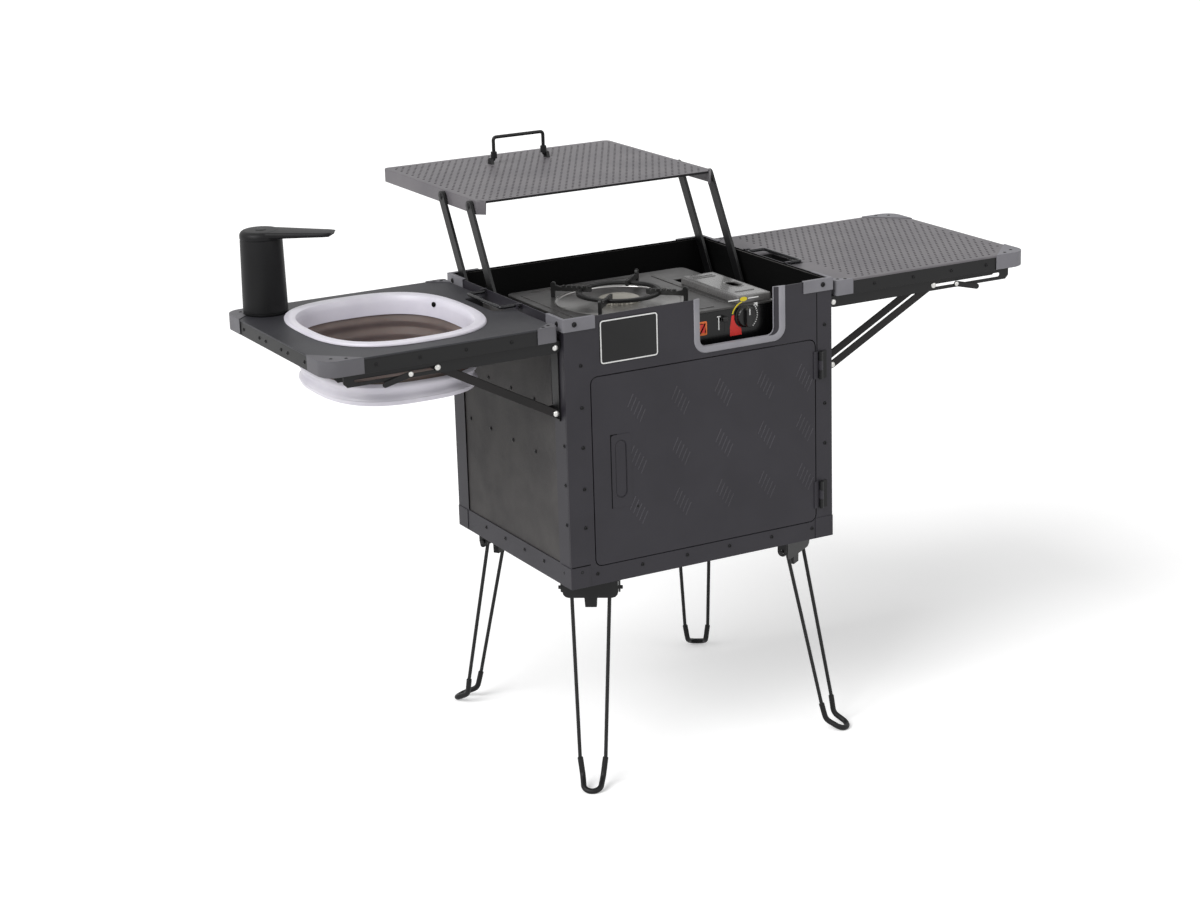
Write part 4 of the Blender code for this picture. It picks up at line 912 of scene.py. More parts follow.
@dataclass
class Cabinet:
    """The sheet metal box: frame, panels, caps, trim, blank plate, seams and screws."""

    half_width: float = 0.240
    half_depth: float = 0.195
    rim: float = 0.4262
    panel_face: float = 0.2372
    panel_relief: float = 0.0004
    window: Sequence[float] = (-0.0034, 0.1335, 0.350)
    trim_above: float = 0.0008
    plate_area: Sequence[float] = (-0.1795, -0.0775, 0.349, 0.4185)
    plate_radius: float = 0.006
    plate_thick: float = 0.0008
    plate_edge: float = 0.0003
    border_from: float = 0.0010
    border_to: float = 0.0029
    ink: float = 0.00015
    corner_wing: float = 0.034
    corner_sheet: float = 0.0010
    corner_low: float = 0.0006
    corner_high: float = 0.0345
    seam_width: float = 0.0014
    seam_proud: float = 0.00012
    seam_deep: float = 0.0004
    seam_lines: Sequence[Rows] = (
        ((0.212, 0.308), (0.212, 0.406)), ((-0.2385, 0.0352), (-0.206, 0.0352)),
    )
    screw_radius: float = 0.0031
    screw_rise: float = 0.0013
    cap_screw_radius: float = 0.0042
    cap_screw_rise: float = 0.0016
    cap_screw: Sequence[float] = (0.2225, 0.1775, 0.4185)
    # Rows of the trim's section: how far out to the left and below, and to the right, then the
    # corner radius and the depth.
    trim_rows: Rows = (
        (0.0102, 0.0197, 0.0220, 0.0002),
        (0.0090, 0.0185, 0.0210, -0.0015),
        (0.0012, 0.0107, 0.0130, -0.0015),
        (0.0, 0.0095, 0.0120, -0.0008),
        (-0.0012, -0.0012, 0.0110, 0.0040),
    )
    front_screws: Rows = (
        *((x, 0.0185) for x in (-0.194, -0.114, -0.033, 0.045, 0.124, 0.201)),
        (-0.2215, 0.026),
        *((-0.2125, z) for z in (0.353, 0.287, 0.224, 0.158, 0.096)),
        *((0.2265, z) for z in (0.353, 0.224, 0.158)),
    )
    panel_rivets: Rows = (
        *((y, 0.2805) for y in (0.0694, -0.0086, -0.0868)),
        *((y, 0.196) for y in (0.1396, 0.068, -0.0098, -0.0857)),
    )
    strip_screws: Rows = (
        *((y, 0.022) for y in (0.096, 0.028, -0.0385, -0.1044, -0.172)),
        *((-0.1850, z) for z in (0.229, 0.1665, 0.103)),
    )
    back_row_x: Sequence[float] = (-0.16, -0.08, 0.0, 0.08, 0.16)
    back_row_z: Sequence[float] = (0.0185, 0.4165)
    back_post_x: Sequence[float] = (-0.2215, 0.2215)
    back_post_z: Sequence[float] = (0.096, 0.224, 0.353)

    def dress_cad(self) -> None:
        """Gives the CAD sheets rounded edges and their finishes."""
        # Their faces that look into the box get the near-black painted shade.
        for name in ("chassis_frame", "front_panel"):
            refined(name, CHARCOAL, 0.5, BLACK_AND_PAINTED_SHADE)
        for name in ("left_panel", "right_panel", "back_panel"):
            refined(name, WRINKLE, 0.3, BLACK_AND_PAINTED_SHADE)
        # The base tray and the shelf sit in the box's hollow and are painted its shade in near-black.
        for name in ("base_tray", "stove_shelf"):
            refined(name, BLACK_AND_PAINTED_SHADE, 0.3)
        for side in SIDES:
            for end in ENDS:
                refined("top_cap_" + end + side, NYLON, 0.45)

    def trim(self) -> None:
        """Makes the moulded trim round the control window, open at the top."""
        left, right, low = self.window
        paths = []
        for wide_left, wide_right, radius, _ in self.trim_rows:
            outline = rounded(
                left - wide_left, right + wide_right, low - wide_left, self.rim + self.trim_above,
                (radius, radius, 0, 0), 8,
            )
            paths.append([outline[-1], *outline[:-1]])
        depths = [row[-1] - self.half_depth for row in self.trim_rows]
        rings = [[(x, y, z) for (x, z), y in zip(points, depths)] for points in zip(*paths)]
        piece("window_trim", loft(rings), TRIM, "chassis")

    def blank_plate(self) -> None:
        """Makes the plate on the front, left blank inside its printed border."""
        front, face = -self.half_depth, -self.half_depth - self.plate_thick
        outline = rounded(*self.plate_area, (self.plate_radius,) * 4)
        shape = cushion(outline, Axis.Y, front + SUNK, face, self.plate_edge)
        piece("blank_plate", shape, PLATE_BLACK, "chassis")
        near, far = inset(outline, self.border_from), inset(outline, self.border_to)
        shape = plate(near, Axis.Y, face + SUNK, face - self.ink, [far])
        piece("blank_plate_border", shape, INK_WHITE, "chassis")

    def corner_plates(self) -> None:
        """Makes the folded plates over the four bottom corners."""
        sheet, wing = self.corner_sheet, self.corner_wing
        out_x, out_y = self.half_width + sheet, self.half_depth + sheet
        low, high = self.corner_low, self.corner_high
        corners = ((out_x - wing, out_y), (out_x - sheet, out_y))
        corners += ((out_x, out_y - sheet), (out_x, out_y - wing))
        for end_name, end in ENDS.items():
            for side_name, side in SIDES.items():
                rings = []
                for x, y in corners:
                    in_x, in_y = min(x, out_x - sheet), min(y, out_y - sheet)
                    points = ((x, y, low), (x, y, high), (in_x, in_y, high), (in_x, in_y, low))
                    rings.append([(side * px, end * py, z) for px, py, z in points])
                name = "bottom_corner_" + end_name + side_name
                piece(name, loft(rings), CHARCOAL, "chassis", 0.2)

    def seams(self) -> None:
        """Makes the dark joints between the front's folded edges and its corner strips."""
        front, half = -self.half_depth, self.seam_width / 2
        shapes = []
        for (x, z), (far_x, far_z) in self.seam_lines:
            grow_x, grow_z = (half, 0) if x == far_x else (0, half)
            outline = rounded(x - grow_x, far_x + grow_x, z - grow_z, far_z + grow_z, SQUARE)
            shapes.append(plate(outline, Axis.Y, front - self.seam_proud, front + self.seam_deep))
        piece("front_seams", joined(shapes), BLACK_AND_PAINTED_SHADE, "chassis")

    def screws(self) -> None:
        """Places the screws of the front, the sides, the back and the top caps."""

        def small() -> bmesh.types.BMesh:
            """One screw of the panels."""
            return screw(self.screw_radius, self.screw_rise)

        def big() -> bmesh.types.BMesh:
            """One screw of the top caps."""
            return screw(self.cap_screw_radius, self.cap_screw_rise)

        def row(
            name: str, head: Callable[[], bmesh.types.BMesh], places: Iterable[Point], way: Point
        ) -> None:
            """Places one group of black screws that all point the same way."""
            heads(name, head, places, way, SCREW_BLACK, "chassis")

        front, back = -self.half_depth, self.half_depth
        row("front_screws", small, [(x, front, z) for x, z in self.front_screws], (0, -1, 0))
        wall = max(-span("left_panel")[0].x, self.panel_face) + self.panel_relief
        for name, side in SIDES.items():
            places = [(side * wall, y, z) for y, z in self.panel_rivets]
            row("side_rivets_" + name, small, places, (side, 0, 0))
            places = [(side * self.half_width, y, z) for y, z in self.strip_screws]
            row("side_strip_screws_" + name, small, places, (side, 0, 0))
        places = [(x, back, z) for z in self.back_row_z for x in self.back_row_x]
        places += [(x, back, z) for x in self.back_post_x for z in self.back_post_z]
        row("back_screws", small, places, (0, 1, 0))
        cap_x = span("top_cap_fr")[1].x
        cap_y = cap_x - (self.half_width - self.half_depth)
        x, y, z = self.cap_screw
        for name, end in ENDS.items():
            places = [(side * x, end * cap_y, z) for side in SIDES.values()]
            row("cap_screws_" + name, big, places, (0, end, 0))
        for name, side in SIDES.items():
            places = [(side * cap_x, end * y, z) for end in ENDS.values()]
            row("cap_screws_" + name, big, places, (side, 0, 0))

    def build(self) -> None:
        """Makes the box."""
        self.dress_cad()
        self.trim()
        self.blank_plate()
        self.corner_plates()
        self.seams()
        self.screws()


@dataclass
class Door:
    """The side-hung door: its tray, pressed strokes, pull and hinges."""

    stroke_columns: Sequence[float] = (-0.118, -0.040, 0.038, 0.116, 0.188)
    stroke_rows: Sequence[float] = (0.272, 0.190, 0.108)
    stroke_length: float = 0.021
    stroke_half: float = 0.0009
    stroke_lean: float = 62.0
    stroke_step: Point = (0.0052, -0.0068)
    stroke_count: int = 5
    stroke_rise: float = 0.0003
    stroke_sunk: float = 0.0004
    pull_gap: float = 0.0012
    surround_left: float = 0.0165
    surround_right: float = 0.0185
    surround_below: float = 0.016
    surround_above: float = 0.0098
    surround_radius: float = 0.005
    surround_proud: float = 0.0007
    shadow_width: float = 0.0013
    shadow_reach: float = 0.006
    shadow_bend: float = 0.0085
    stud: Point = (-0.120, 0.115)
    stud_radius: float = 0.0022
    stud_rise: float = 0.0008

    def strokes(self) -> None:
        """Makes the groups of pressed diagonal strokes on the door's face."""
        front = span("front_panel")[0].y
        lean = math.radians(self.stroke_lean)
        reach = Vector((math.cos(lean), math.sin(lean))) * (self.stroke_length / 2)
        shapes = []
        for z in self.stroke_rows:
            for x in self.stroke_columns:
                for step in range(self.stroke_count):
                    shift = step - (self.stroke_count - 1) / 2
                    middle = Vector((x, z)) + Vector(self.stroke_step) * shift
                    outline = stadium(middle - reach, middle + reach, self.stroke_half, 3)
                    deep, proud = front + self.stroke_sunk, front - self.stroke_rise
                    shapes.append(cushion(outline, Axis.Y, deep, proud, SUNK, 1))
        piece("door_strokes", joined(shapes), STROKE_COAT, "door")

    def pull(self) -> None:
        """Makes the pull, the pressed surround that it lies in, and a painted shadow along the surround's
        left and top edges.
        """
        refined("door_pull", CHARCOAL, 0.8)
        front = span("front_panel")[0].y
        low, high = span("door_pull")
        radius, middle = (high.x - low.x) / 2, (low.x + high.x) / 2
        ends = (middle, low.z + radius), (middle, high.z - radius)
        slot = stadium(*ends, radius + self.pull_gap, 8)
        left, foot, top = middle - self.surround_left, low.z - self.surround_below, high.z
        outline = rounded(
            left, middle + self.surround_right, foot, top + self.surround_above,
            (self.surround_radius,) * 4,
        )
        shape = plate(outline, Axis.Y, front + SUNK, front - self.surround_proud, [slot])
        piece("door_pull_surround", shape, CHARCOAL, "door", 0.3)
        # A near-black strip along the surround's left edge and over its top: a painted shadow.
        out, reach = left - self.shadow_width, middle - self.shadow_reach
        above = top + self.surround_above
        edge = [(out, foot), (left, foot), (left, top + self.shadow_bend), (reach, above)]
        edge += [(reach, above + self.pull_gap), (out, above + self.pull_gap)]
        shape = plate(edge, Axis.Y, front + SUNK, front - SUNK)
        piece("door_pull_painted_shadow", shape, BLACK_AND_PAINTED_SHADE, "door")
        x, z = self.stud
        heads(
            "door_stud", lambda: screw(self.stud_radius, self.stud_rise), [(x, front, z)], (0, -1, 0),
            SCREW_BLACK, "door",
        )

    def build(self) -> None:
        """Makes the door and its hinges."""
        refined("door", CHARCOAL, 0.6)
        for name in ("hinge_upper", "hinge_lower"):
            refined(name, BLACK_COAT, 0.25)
        self.strokes()
        self.pull()


@dataclass(frozen=True)
class Dots:
    """Round dots pressed into a sheet in staggered rows."""

    pitch: float = 0.0125
    radius: float = 0.0023
    depth: float = 0.0009

    def face(
        self, bm: bmesh.types.BMesh, border: list[bmesh.types.BMVert], area: Sequence[float],
        z: float, wanted: Callable[[float, float], bool],
    ) -> None:
        """Fills a flat border with a sheet that has the dots pressed into it.

        Args:
            bm: The shape that the border belongs to.
            border: The vertices round the sheet, in order.
            area: Left, right, front and back of the dotted area.
            z: The height of the sheet.
            wanted: Whether a dot stands at a place.
        """
        left, right, front, back = area
        step_x, step_y = self.pitch / 2, self.pitch * math.sqrt(3) / 4
        count_x, count_y = int((right - left) / step_x), int((back - front) / step_y)
        start_x = (left + right - count_x * step_x) / 2
        start_y = (front + back - count_y * step_y) / 2
        dots = set()
        for j in range(1, count_y, 2):
            for i in range(1 + j // 2 % 2, count_x, 2):
                if wanted(start_x + i * step_x, start_y + j * step_y):
                    dots.add((i, j))
        grid = {}
        for i in range(count_x + 1):
            for j in range(count_y + 1):
                if (i, j) not in dots:
                    grid[i, j] = bm.verts.new((start_x + i * step_x, start_y + j * step_y, z))
        around = ((1, 0), (1, 1), (0, 1), (-1, 1), (-1, 0), (-1, -1), (0, -1), (1, -1))
        for i in range(count_x):
            for j in range(count_y):
                cell = [(i, j), (i + 1, j), (i + 1, j + 1), (i, j + 1)]
                if not any(corner in dots for corner in cell):
                    bm.faces.new([grid[corner] for corner in cell])
        for i, j in dots:
            x, y = start_x + i * step_x, start_y + j * step_y
            outer = [grid[i + a, j + b] for a, b in around]
            rim = [bm.verts.new((*point, z)) for point in circle((x, y), self.radius, 8)]
            low = [bm.verts.new((*p, z - self.depth)) for p in circle((x, y), self.radius * 0.75, 8)]
            # Each dot's sloping wall and its floor take the second finish: darker paint with painted shade.
            for first, second, number in ((outer, rim, 0), (rim, low, 1)):
                for here in range(8):
                    there = (here + 1) % 8
                    made = bm.faces.new((first[here], first[there], second[there], second[here]))
                    made.material_index = number
            bm.faces.new(low).material_index = 1
        loop = [grid[i, 0] for i in range(count_x + 1)]
        loop += [grid[count_x, j] for j in range(1, count_y + 1)]
        loop += [grid[i, count_y] for i in range(count_x - 1, -1, -1)]
        loop += [grid[0, j] for j in range(count_y - 1, 0, -1)]
        edges = []
        for ring in (loop, border):
            for pair in zip(ring, ring[1:] + ring[:1]):
                edges.append(bm.edges.get(pair) or bm.edges.new(pair))
        bmesh.ops.triangle_fill(bm, edges=edges, use_beauty=True)


def sheet_rings(
    bm: bmesh.types.BMesh, outline: Outline, lows: Sequence[float], high: float, edge: float
) -> tuple[list[bmesh.types.BMVert], list[bmesh.types.BMVert]]:
    """The wall of a sheet with a rounded upper edge, open at both ends.

    Args:
        bm: The shape that it is added to.
        outline: The sheet's outline.
        lows: How low the wall goes at each point of the outline.
        high: Its upper plane.
        edge: The radius of the rounded edge.

    Returns:
        The vertices of the lower border and those of the upper one.
    """
    rings = [[lifted(point, Axis.Z, low) for point, low in zip(outline, lows)]]
    for step in range(4):
        turn = math.pi / 6 * step
        ring = inset(outline, edge * (1 - math.cos(turn)))
        rings.append([lifted(point, Axis.Z, high - edge * (1 - math.sin(turn))) for point in ring])
    loops = [[bm.verts.new(point) for point in ring] for ring in rings]
    for lower, upper in zip(loops, loops[1:]):
        for here in range(len(lower)):
            there = (here + 1) % len(lower)
            bm.faces.new((lower[here], lower[there], upper[there], upper[here]))
    return loops[0], loops[-1]


@dataclass
class Lid:
    """The lid on its four links, with its handle."""

    chamfer: float = 0.012
    flange: float = 0.022
    lip: float = 0.0035
    back_radius: float = 0.010
    sheet: float = 0.002
    margin: float = 0.006
    dots: Dots = Dots()
    rod: float = 0.003
    ferrule: float = 0.0054
    ferrule_height: float = 0.015
    half: float = 0.2185
    seat_from: float = 0.0508
    seat_to: float = 0.0565
    seat_radius: float = 0.0055
    seat_foot: float = 0.0075
    seat_drop: float = 0.0052
    handle_half: float = 0.0475
    handle_bend: float = 0.006
    pivot_drop: float = 0.005
    link_half: float = 0.009
    boss_from: float = 0.2170
    boss_to: float = 0.2205
    boss_radius: float = 0.0085
    cap_radius: float = 0.0058
    cap_rise: float = 0.002
    clear_of_corner: float = 0.012
    clear_of_seat: float = 0.0135

    def tray(self) -> None:
        """Makes the pressed tray, with its dots and side flanges and a thin front edge."""
        low, high = span("lid")
        handle = span("lid_handle")
        top = handle[0].z + self.rod - self.pivot_drop
        half, radius, cut = self.half, self.back_radius, self.chamfer
        front, back = low.y, high.y
        side = [(half - cut - 0.001, front), (half - cut, front), (half, front + cut)]
        side += arc((half - radius, back - radius), radius, 0, 90, 5)
        outline = side + [(-x, y) for x, y in reversed(side)]
        lows = [top - (self.flange if 0 < index < len(outline) - 1 else self.lip)
                for index in range(len(outline))]
        bm = bmesh.new()
        foot, border = sheet_rings(bm, outline, lows, top, 0.0010)
        # The front edge gets the dots' dark finish, a painted shade on its front face.
        for face in bm.faces:
            if face.calc_center_median().y < front + 0.001:
                face.material_index = 1
        area = (-half + self.margin, half - self.margin, front + self.margin, back - self.margin)
        seat_x = (self.seat_from + self.seat_to) / 2
        seat_y = (handle[0].y + handle[1].y) / 2

        def wanted(x: float, y: float) -> bool:
            """Whether a dot is clear of the cut corners and the handle's seats."""
            corner = (half - abs(x)) + (y - front) > cut + self.clear_of_corner
            return corner and math.hypot(abs(x) - seat_x, y - seat_y) > self.clear_of_seat

        self.dots.face(bm, border, area, top, wanted)
        inner = inset(outline, self.sheet)
        under = [bm.verts.new((x, y, top - self.sheet)) for x, y in inner]
        lip = [bm.verts.new((x, y, z)) for (x, y), z in zip(inner, lows)]
        bm.faces.new(under)
        for here in range(len(outline)):
            there = (here + 1) % len(outline)
            bm.faces.new((under[here], under[there], lip[there], lip[here]))
            bm.faces.new((lip[here], lip[there], foot[there], foot[here]))
        piece("lid_tray", bm, (LIGHT_COAT, DOT_PAINT_AND_SHADE), "lid", 0.0, ["lid"])

    def fittings(self) -> None:
        """Makes the pivot bosses in the flanges and the seats of the handle."""
        low, high = span("lid_handle")
        y, z = (low.y + high.y) / 2, low.z + self.rod
        foot, drop = self.seat_foot, z - self.seat_drop
        seat = arc((y, z), self.seat_radius, 0, 180, 8) + [(y - foot, drop), (y + foot, drop)]
        seats, bosses = [], []
        for name, side in SIDES.items():
            seats.append(plate(seat, Axis.X, *sorted((side * self.seat_from, side * self.seat_to))))
            places = []
            for link in ("link_bar_rf", "link_bar_rb"):
                corner = span(link)[1]
                place = (corner.y - self.link_half, corner.z - self.link_half)
                ends = side * self.boss_from, side * self.boss_to
                bosses.append(plate(circle(place, self.boss_radius), Axis.X, *ends))
                places.append((side * corner.x, *place))
            heads(
                "lid_pivot_caps_" + name, lambda: rivet(self.cap_radius, self.cap_rise), places,
                (side, 0, 0), SCREW_BLACK, "lid",
            )
        piece("lid_handle_seats", joined(seats), BLACK_COAT, "lid", 0.3)
        piece("lid_pivot_bosses", joined(bosses), BLACK_COAT, "lid", 0.3)

    def handle(self) -> None:
        """Makes the bent rod handle with a ferrule at each foot."""
        low, high = span("lid_handle")
        y, z, top = (low.y + high.y) / 2, low.z + self.rod, high.z - self.rod
        half, out, tall = self.handle_half, high.x, self.ferrule_height
        corners = [(-out, y, z), (-half, y, z), (-half, y, top)]
        corners += [(half, y, top), (half, y, z), (out, y, z)]
        shapes = [tube(bent(corners, self.handle_bend), self.rod, 16, ROD_TIP)]
        profile = [(0.0036, 0.0035), (self.ferrule, 0.0042), (self.ferrule, tall)]
        profile.append((0.0034, tall + 0.001))
        for side in SIDES.values():
            shapes.append(moved(turned(profile, 20), (side * half, y, z)))
        piece(
            "lid_handle_rod", joined(shapes), BLACK_COAT, "lid_handle", 0.0,
            ["lid_handle"],
        )

    def links(self) -> None:
        """Dresses the four link bars and puts a stud on each lower pivot."""
        for side_name, side in SIDES.items():
            places = []
            for end in ENDS:
                name = "link_bar_" + side_name + end
                refined(name, BLACK_COAT, 0.8)
                low, high = span(name)
                inner = side * min(abs(low.x), abs(high.x))
                places.append((inner, low.y + self.link_half, low.z + self.link_half))
            heads(
                "link_studs_" + side_name, lambda: rivet(self.cap_radius, self.cap_rise), places,
                (-side, 0, 0), ZINC, "chassis",
            )

    def build(self) -> None:
        """Makes the lid, its handle and its links."""
        self.tray()
        self.fittings()
        self.handle()
        self.links()


@dataclass
class Stove:
    """The cassette stove: case, top, drip pan, burner, pan support, can lid and controls."""

    radius: float = 0.012
    pan_radius: float = 0.100
    pan_depth: float = 0.010
    ring: float = 0.068
    arm_in: float = 0.045
    arm_out: float = 0.112
    bar: float = 0.005
    ring_width: float = 0.009
    tooth: float = 0.0085
    tooth_depth: float = 0.0026
    # Where a tooth's crest ends, its gap begins and its gap ends.
    tooth_shares: Sequence[float] = (0.62, 0.70, 0.94)
    tip_radius: float = 0.004
    lid_gap: float = 0.0003
    sheet: float = 0.0034
    bay_gap: float = 0.004
    panel_top: float = 0.400
    lid_steps: Sequence[float] = (-0.134, -0.018, -0.008)
    # Rows of the ring: ring widths inside its edge, out from there, up from the support's top.
    ring_rows: Rows = (
        (1, 0.0, -0.0100), (0, 0.0, -0.0100), (0, 0.0, -0.0056),
        (0, -0.0012, -0.0044), (1, 0.0022, -0.0044), (1, 0.0, -0.0062),
    )
    # Rows of the drip pan's rim: out from the pan's radius, up from the stove's top.
    rim_rows: Rows = (
        (-0.0006, -0.0016), (0.0028, -0.0002), (0.0030, 0.0007), (0.0010, 0.0011), (-0.002, -0.0005),
    )
    # Rows of its slope, out from the same radius, and radii of its floor: up from the floor.
    slope_rows: Rows = ((-0.006, 0.0022), (-0.011, 0.0003), (-0.018, 0.0))
    floor_rows: Rows = ((0.066, 0.0016), (0.050, 0.0), (0.034, 0.0006))
    base_rows: Rows = ((0.036, -0.0002), (0.036, 0.0022), (0.0285, 0.0036), (0.0285, 0.0062))
    burner: Point = (-0.051, -0.029)
    ink: float = 0.00018
    rib_half: float = 0.0022
    rib_rise: float = 0.0009
    top_ribs: Sequence[Rows] = (
        ((-0.1655, -0.141), (-0.1655, 0.083)),
        ((0.0745, -0.141), (0.0745, 0.083)),
        ((-0.139, -0.1555), (0.045, -0.1555)),
        ((-0.139, 0.0985), (0.045, 0.0985)),
    )
    # Rows of the burner cap: height over the pan's floor, depth of the flame slots, radius.
    cap_rows: Rows = (
        (0.0062, 0.0022, 0.0320), (0.0118, 0.0022, 0.0330), (0.0122, 0, 0.0330),
        (0.0142, 0, 0.0318), (0.0154, 0, 0.0285), (0.0158, 0, 0.0140), (0.0148, 0, 0.0110),
    )
    # Rows of the knob's skirt: how far inside its radius, height, depth of the flutes.
    skirt_rows: Rows = (
        (0.0, 0.0, 0.0), (0.0, 0.0016, 0.0), (0.0008, 0.0024, 0.0006),
        (0.0012, 0.0062, 0.0006), (0.0030, 0.0078, 0.0), (0.0060, 0.0082, 0.0),
    )
    hole_middle: Point = (0.126, -0.086)
    hole_half: float = 0.009
    hole_radius: float = 0.008
    # Rows of the raised ring round the finger hole: how far outside the hole, height.
    hole_rows: Rows = (
        (0.0, -0.0014), (0.0008, 0.0003), (0.0022, 0.0008), (0.0040, 0.0003), (0.0044, -0.0006),
    )

    def deck(self) -> float:
        """The height of the stove's top, just under the can lid."""
        return span("stove_can_lid")[0].z - self.lid_gap

    def case(self) -> None:
        """Makes the enamelled walls, the silver top with its openings, and the can bay's liner."""
        low, high = span("stove_body")
        top = self.deck()
        outline = rounded(low.x, high.x, low.y, high.y, (self.radius,) * 4, 8)
        inner = inset(outline, 0.002)
        rings = [(inner, low.z), (outline, low.z), (outline, top - self.sheet), (inner, top - self.sheet)]
        walls = loft(levels(rings), closed=True)
        piece("stove_case", walls, ENAMEL, "chassis", 0.3, ["stove_body"])
        pan = circle(self.burner, self.pan_radius - 0.0005, 64)
        lid_low, lid_high = span("stove_can_lid")
        gap = self.bay_gap
        bay = rounded(lid_low.x + gap, high.x - gap, lid_low.y + gap, lid_high.y + 0.03, (0.003,) * 4, 3)
        sheet = plate(inset(outline, -0.0002), Axis.Z, top - self.sheet, top, [pan, bay])
        piece("stove_top", sheet, SILVER, "chassis", 0.9)
        sides = [bay, inset(bay, 0.0012)]
        floor = low.z + 0.0018
        liner = [(sides[0], top - 0.0005), (sides[0], floor)]
        liner += [(sides[1], floor + 0.001), (sides[1], top - 0.0005)]
        liner = loft(levels(liner), closed=True)
        bottom = plate(sides[0], Axis.Z, floor - 0.0004, floor + 0.0009)
        piece("can_bay", joined([liner, bottom]), ENAMEL, "chassis")
        ribs = []
        for first, second in self.top_ribs:
            shape = stadium(first, second, self.rib_half)
            ribs.append(cushion(shape, Axis.Z, top - 0.0005, top + self.rib_rise, self.rib_rise))
        piece("stove_top_ribs", joined(ribs), SILVER, "chassis")

    def pan(self) -> None:
        """Makes the drip pan and the burner with its ring of flame slots."""
        top = self.deck()
        floor = top - self.pan_depth
        r = self.pan_radius
        profile = [(r + out, top + z) for out, z in self.rim_rows]
        profile += [(r + out, floor + z) for out, z in self.slope_rows]
        profile += [(out, floor + z) for out, z in self.floor_rows]
        shape = moved(turned(profile, 72), (*self.burner, 0))
        piece("stove_drip_pan", shape, STAINLESS, "chassis")
        base = moved(turned([(out, floor + z) for out, z in self.base_rows], 48), (*self.burner, 0))
        piece("stove_burner_base", base, ENAMEL, "chassis", 0.3)
        rings = []
        count = 96
        for z, deep, out in self.cap_rows:
            ring = []
            for step in range(count):
                reach = out - (deep if step % 4 < 2 else 0)
                angle = 2 * math.pi * step / count
                ring.append((reach * math.cos(angle), reach * math.sin(angle), floor + z))
            rings.append(ring)
        cap = moved(loft(rings), (*self.burner, 0))
        piece("stove_burner_cap", cap, BURNER_CAST, "chassis")

    def support(self) -> None:
        """Makes the pan support: a ring and four toothed arms with a foot and a raised tip."""
        low, high = span("stove_pan_support")
        top = high.z
        stove_top = low.z
        x, y = self.burner
        rows = [
            (circle((0, 0), self.ring - widths * self.ring_width + out, 64), top + z)
            for widths, out, z in self.ring_rows
        ]
        shapes = [moved(loft(levels(rows), closed=True), (x, y, 0))]
        crest, fall, rise = (self.tooth * share for share in self.tooth_shares)
        tip_start = self.arm_out - 2 * self.tip_radius
        for quarter in range(4):
            profile = [(self.arm_in, top - 0.0085)]
            reach = self.arm_in
            while reach + self.tooth < tip_start:
                profile += [(reach, top), (reach + crest, top)]
                profile += [(reach + fall, top - self.tooth_depth), (reach + rise, top - self.tooth_depth)]
                reach += self.tooth
            tip = (self.arm_out - self.tip_radius, top + 0.001)
            profile += [(tip_start, top), *arc(tip, self.tip_radius, 150, 0, 6)]
            profile += [(self.arm_out, stove_top), (self.arm_out - 0.0062, stove_top)]
            profile += [(self.arm_out - 0.0068, top - 0.0095), (self.arm_in + 0.002, top - 0.0095)]
            arm = plate(profile[::-1], Axis.Y, -self.bar / 2, self.bar / 2)
            turn = Matrix.Translation((x, y, 0)) @ Matrix.Rotation(math.radians(45 + 90 * quarter), 4, "Z")
            bmesh.ops.transform(arm, matrix=turn, verts=arm.verts)
            shapes.append(arm)
        piece("pan_support", joined(shapes), CAST_IRON, "chassis", 0.5, ["stove_pan_support"])

    def can_lid(self) -> None:
        """Makes the can lid with its finger hole, the raised ring round it and pressed steps."""
        low, high = span("stove_can_lid")
        x, y = self.hole_middle
        ends = (x, y - self.hole_half), (x, y + self.hole_half)
        hole = stadium(*ends, self.hole_radius, 8)
        outline = rounded(low.x, high.x, low.y, high.y, (0.005,) * 4, 6)
        top = high.z
        skirt = [(outline, low.z), (outline, top - 0.004), (inset(outline, 0.0012), top - 0.0012)]
        skirt += [(inset(outline, 0.004), top), (inset(outline, 0.006), top)]
        skirt += [(inset(outline, 0.006), top - 0.0015), (inset(outline, 0.002), top - 0.0035)]
        skirt += [(inset(outline, 0.0015), low.z)]
        wall = loft(levels(skirt), closed=True)
        deck = plate(inset(outline, 0.005), Axis.Z, top - 0.0014, top - 0.0002, [hole])
        rows = [(stadium(*ends, self.hole_radius + grow, 8), top + z) for grow, z in self.hole_rows]
        lip = loft(levels(rows), closed=True)
        steps = []
        for y in self.lid_steps:
            outline = stadium((low.x + 0.016, y), (high.x - 0.016, y), 0.0022)
            steps.append(cushion(outline, Axis.Z, top - 0.0005, top + 0.0008, 0.0008))
        shape = joined([wall, deck, lip, *steps])
        piece("can_lid", shape, GREY_ENAMEL, "stove_can_lid", 0.0, ["stove_can_lid"])

    def controls(self) -> None:
        """Makes the control panel, its printed marks, the knob, the lever and the spark window."""
        low, high = span("stove_body")
        front = low.y
        knob_low, knob_high = span("stove_knob")
        centre = ((knob_low.x + knob_high.x) / 2, (knob_low.z + knob_high.z) / 2)
        radius = (knob_high.x - knob_low.x) / 2
        lever_low, lever_high = span("stove_lock_lever")
        lever_x = (lever_low.x + lever_high.x) / 2
        top = min(high.z, self.panel_top)
        slot = rounded(lever_x - 0.0026, lever_x + 0.0026, 0.3625, 0.3875, (0.0012,) * 4, 3)
        outline = rounded(-0.030, 0.1465, 0.334, top - 0.0045, (0.004,) * 4)
        face = front - 0.00025
        panel = plate(outline, Axis.Y, front + 0.0006, face, [slot])
        piece("stove_panel", panel, ENAMEL, "chassis")
        shadow = plate(inset(slot, 0.0001), Axis.Y, front + 0.0001, front + 0.0004)
        piece("stove_slot_shadow", shadow, BLACK_AND_PAINTED_SHADE, "chassis")

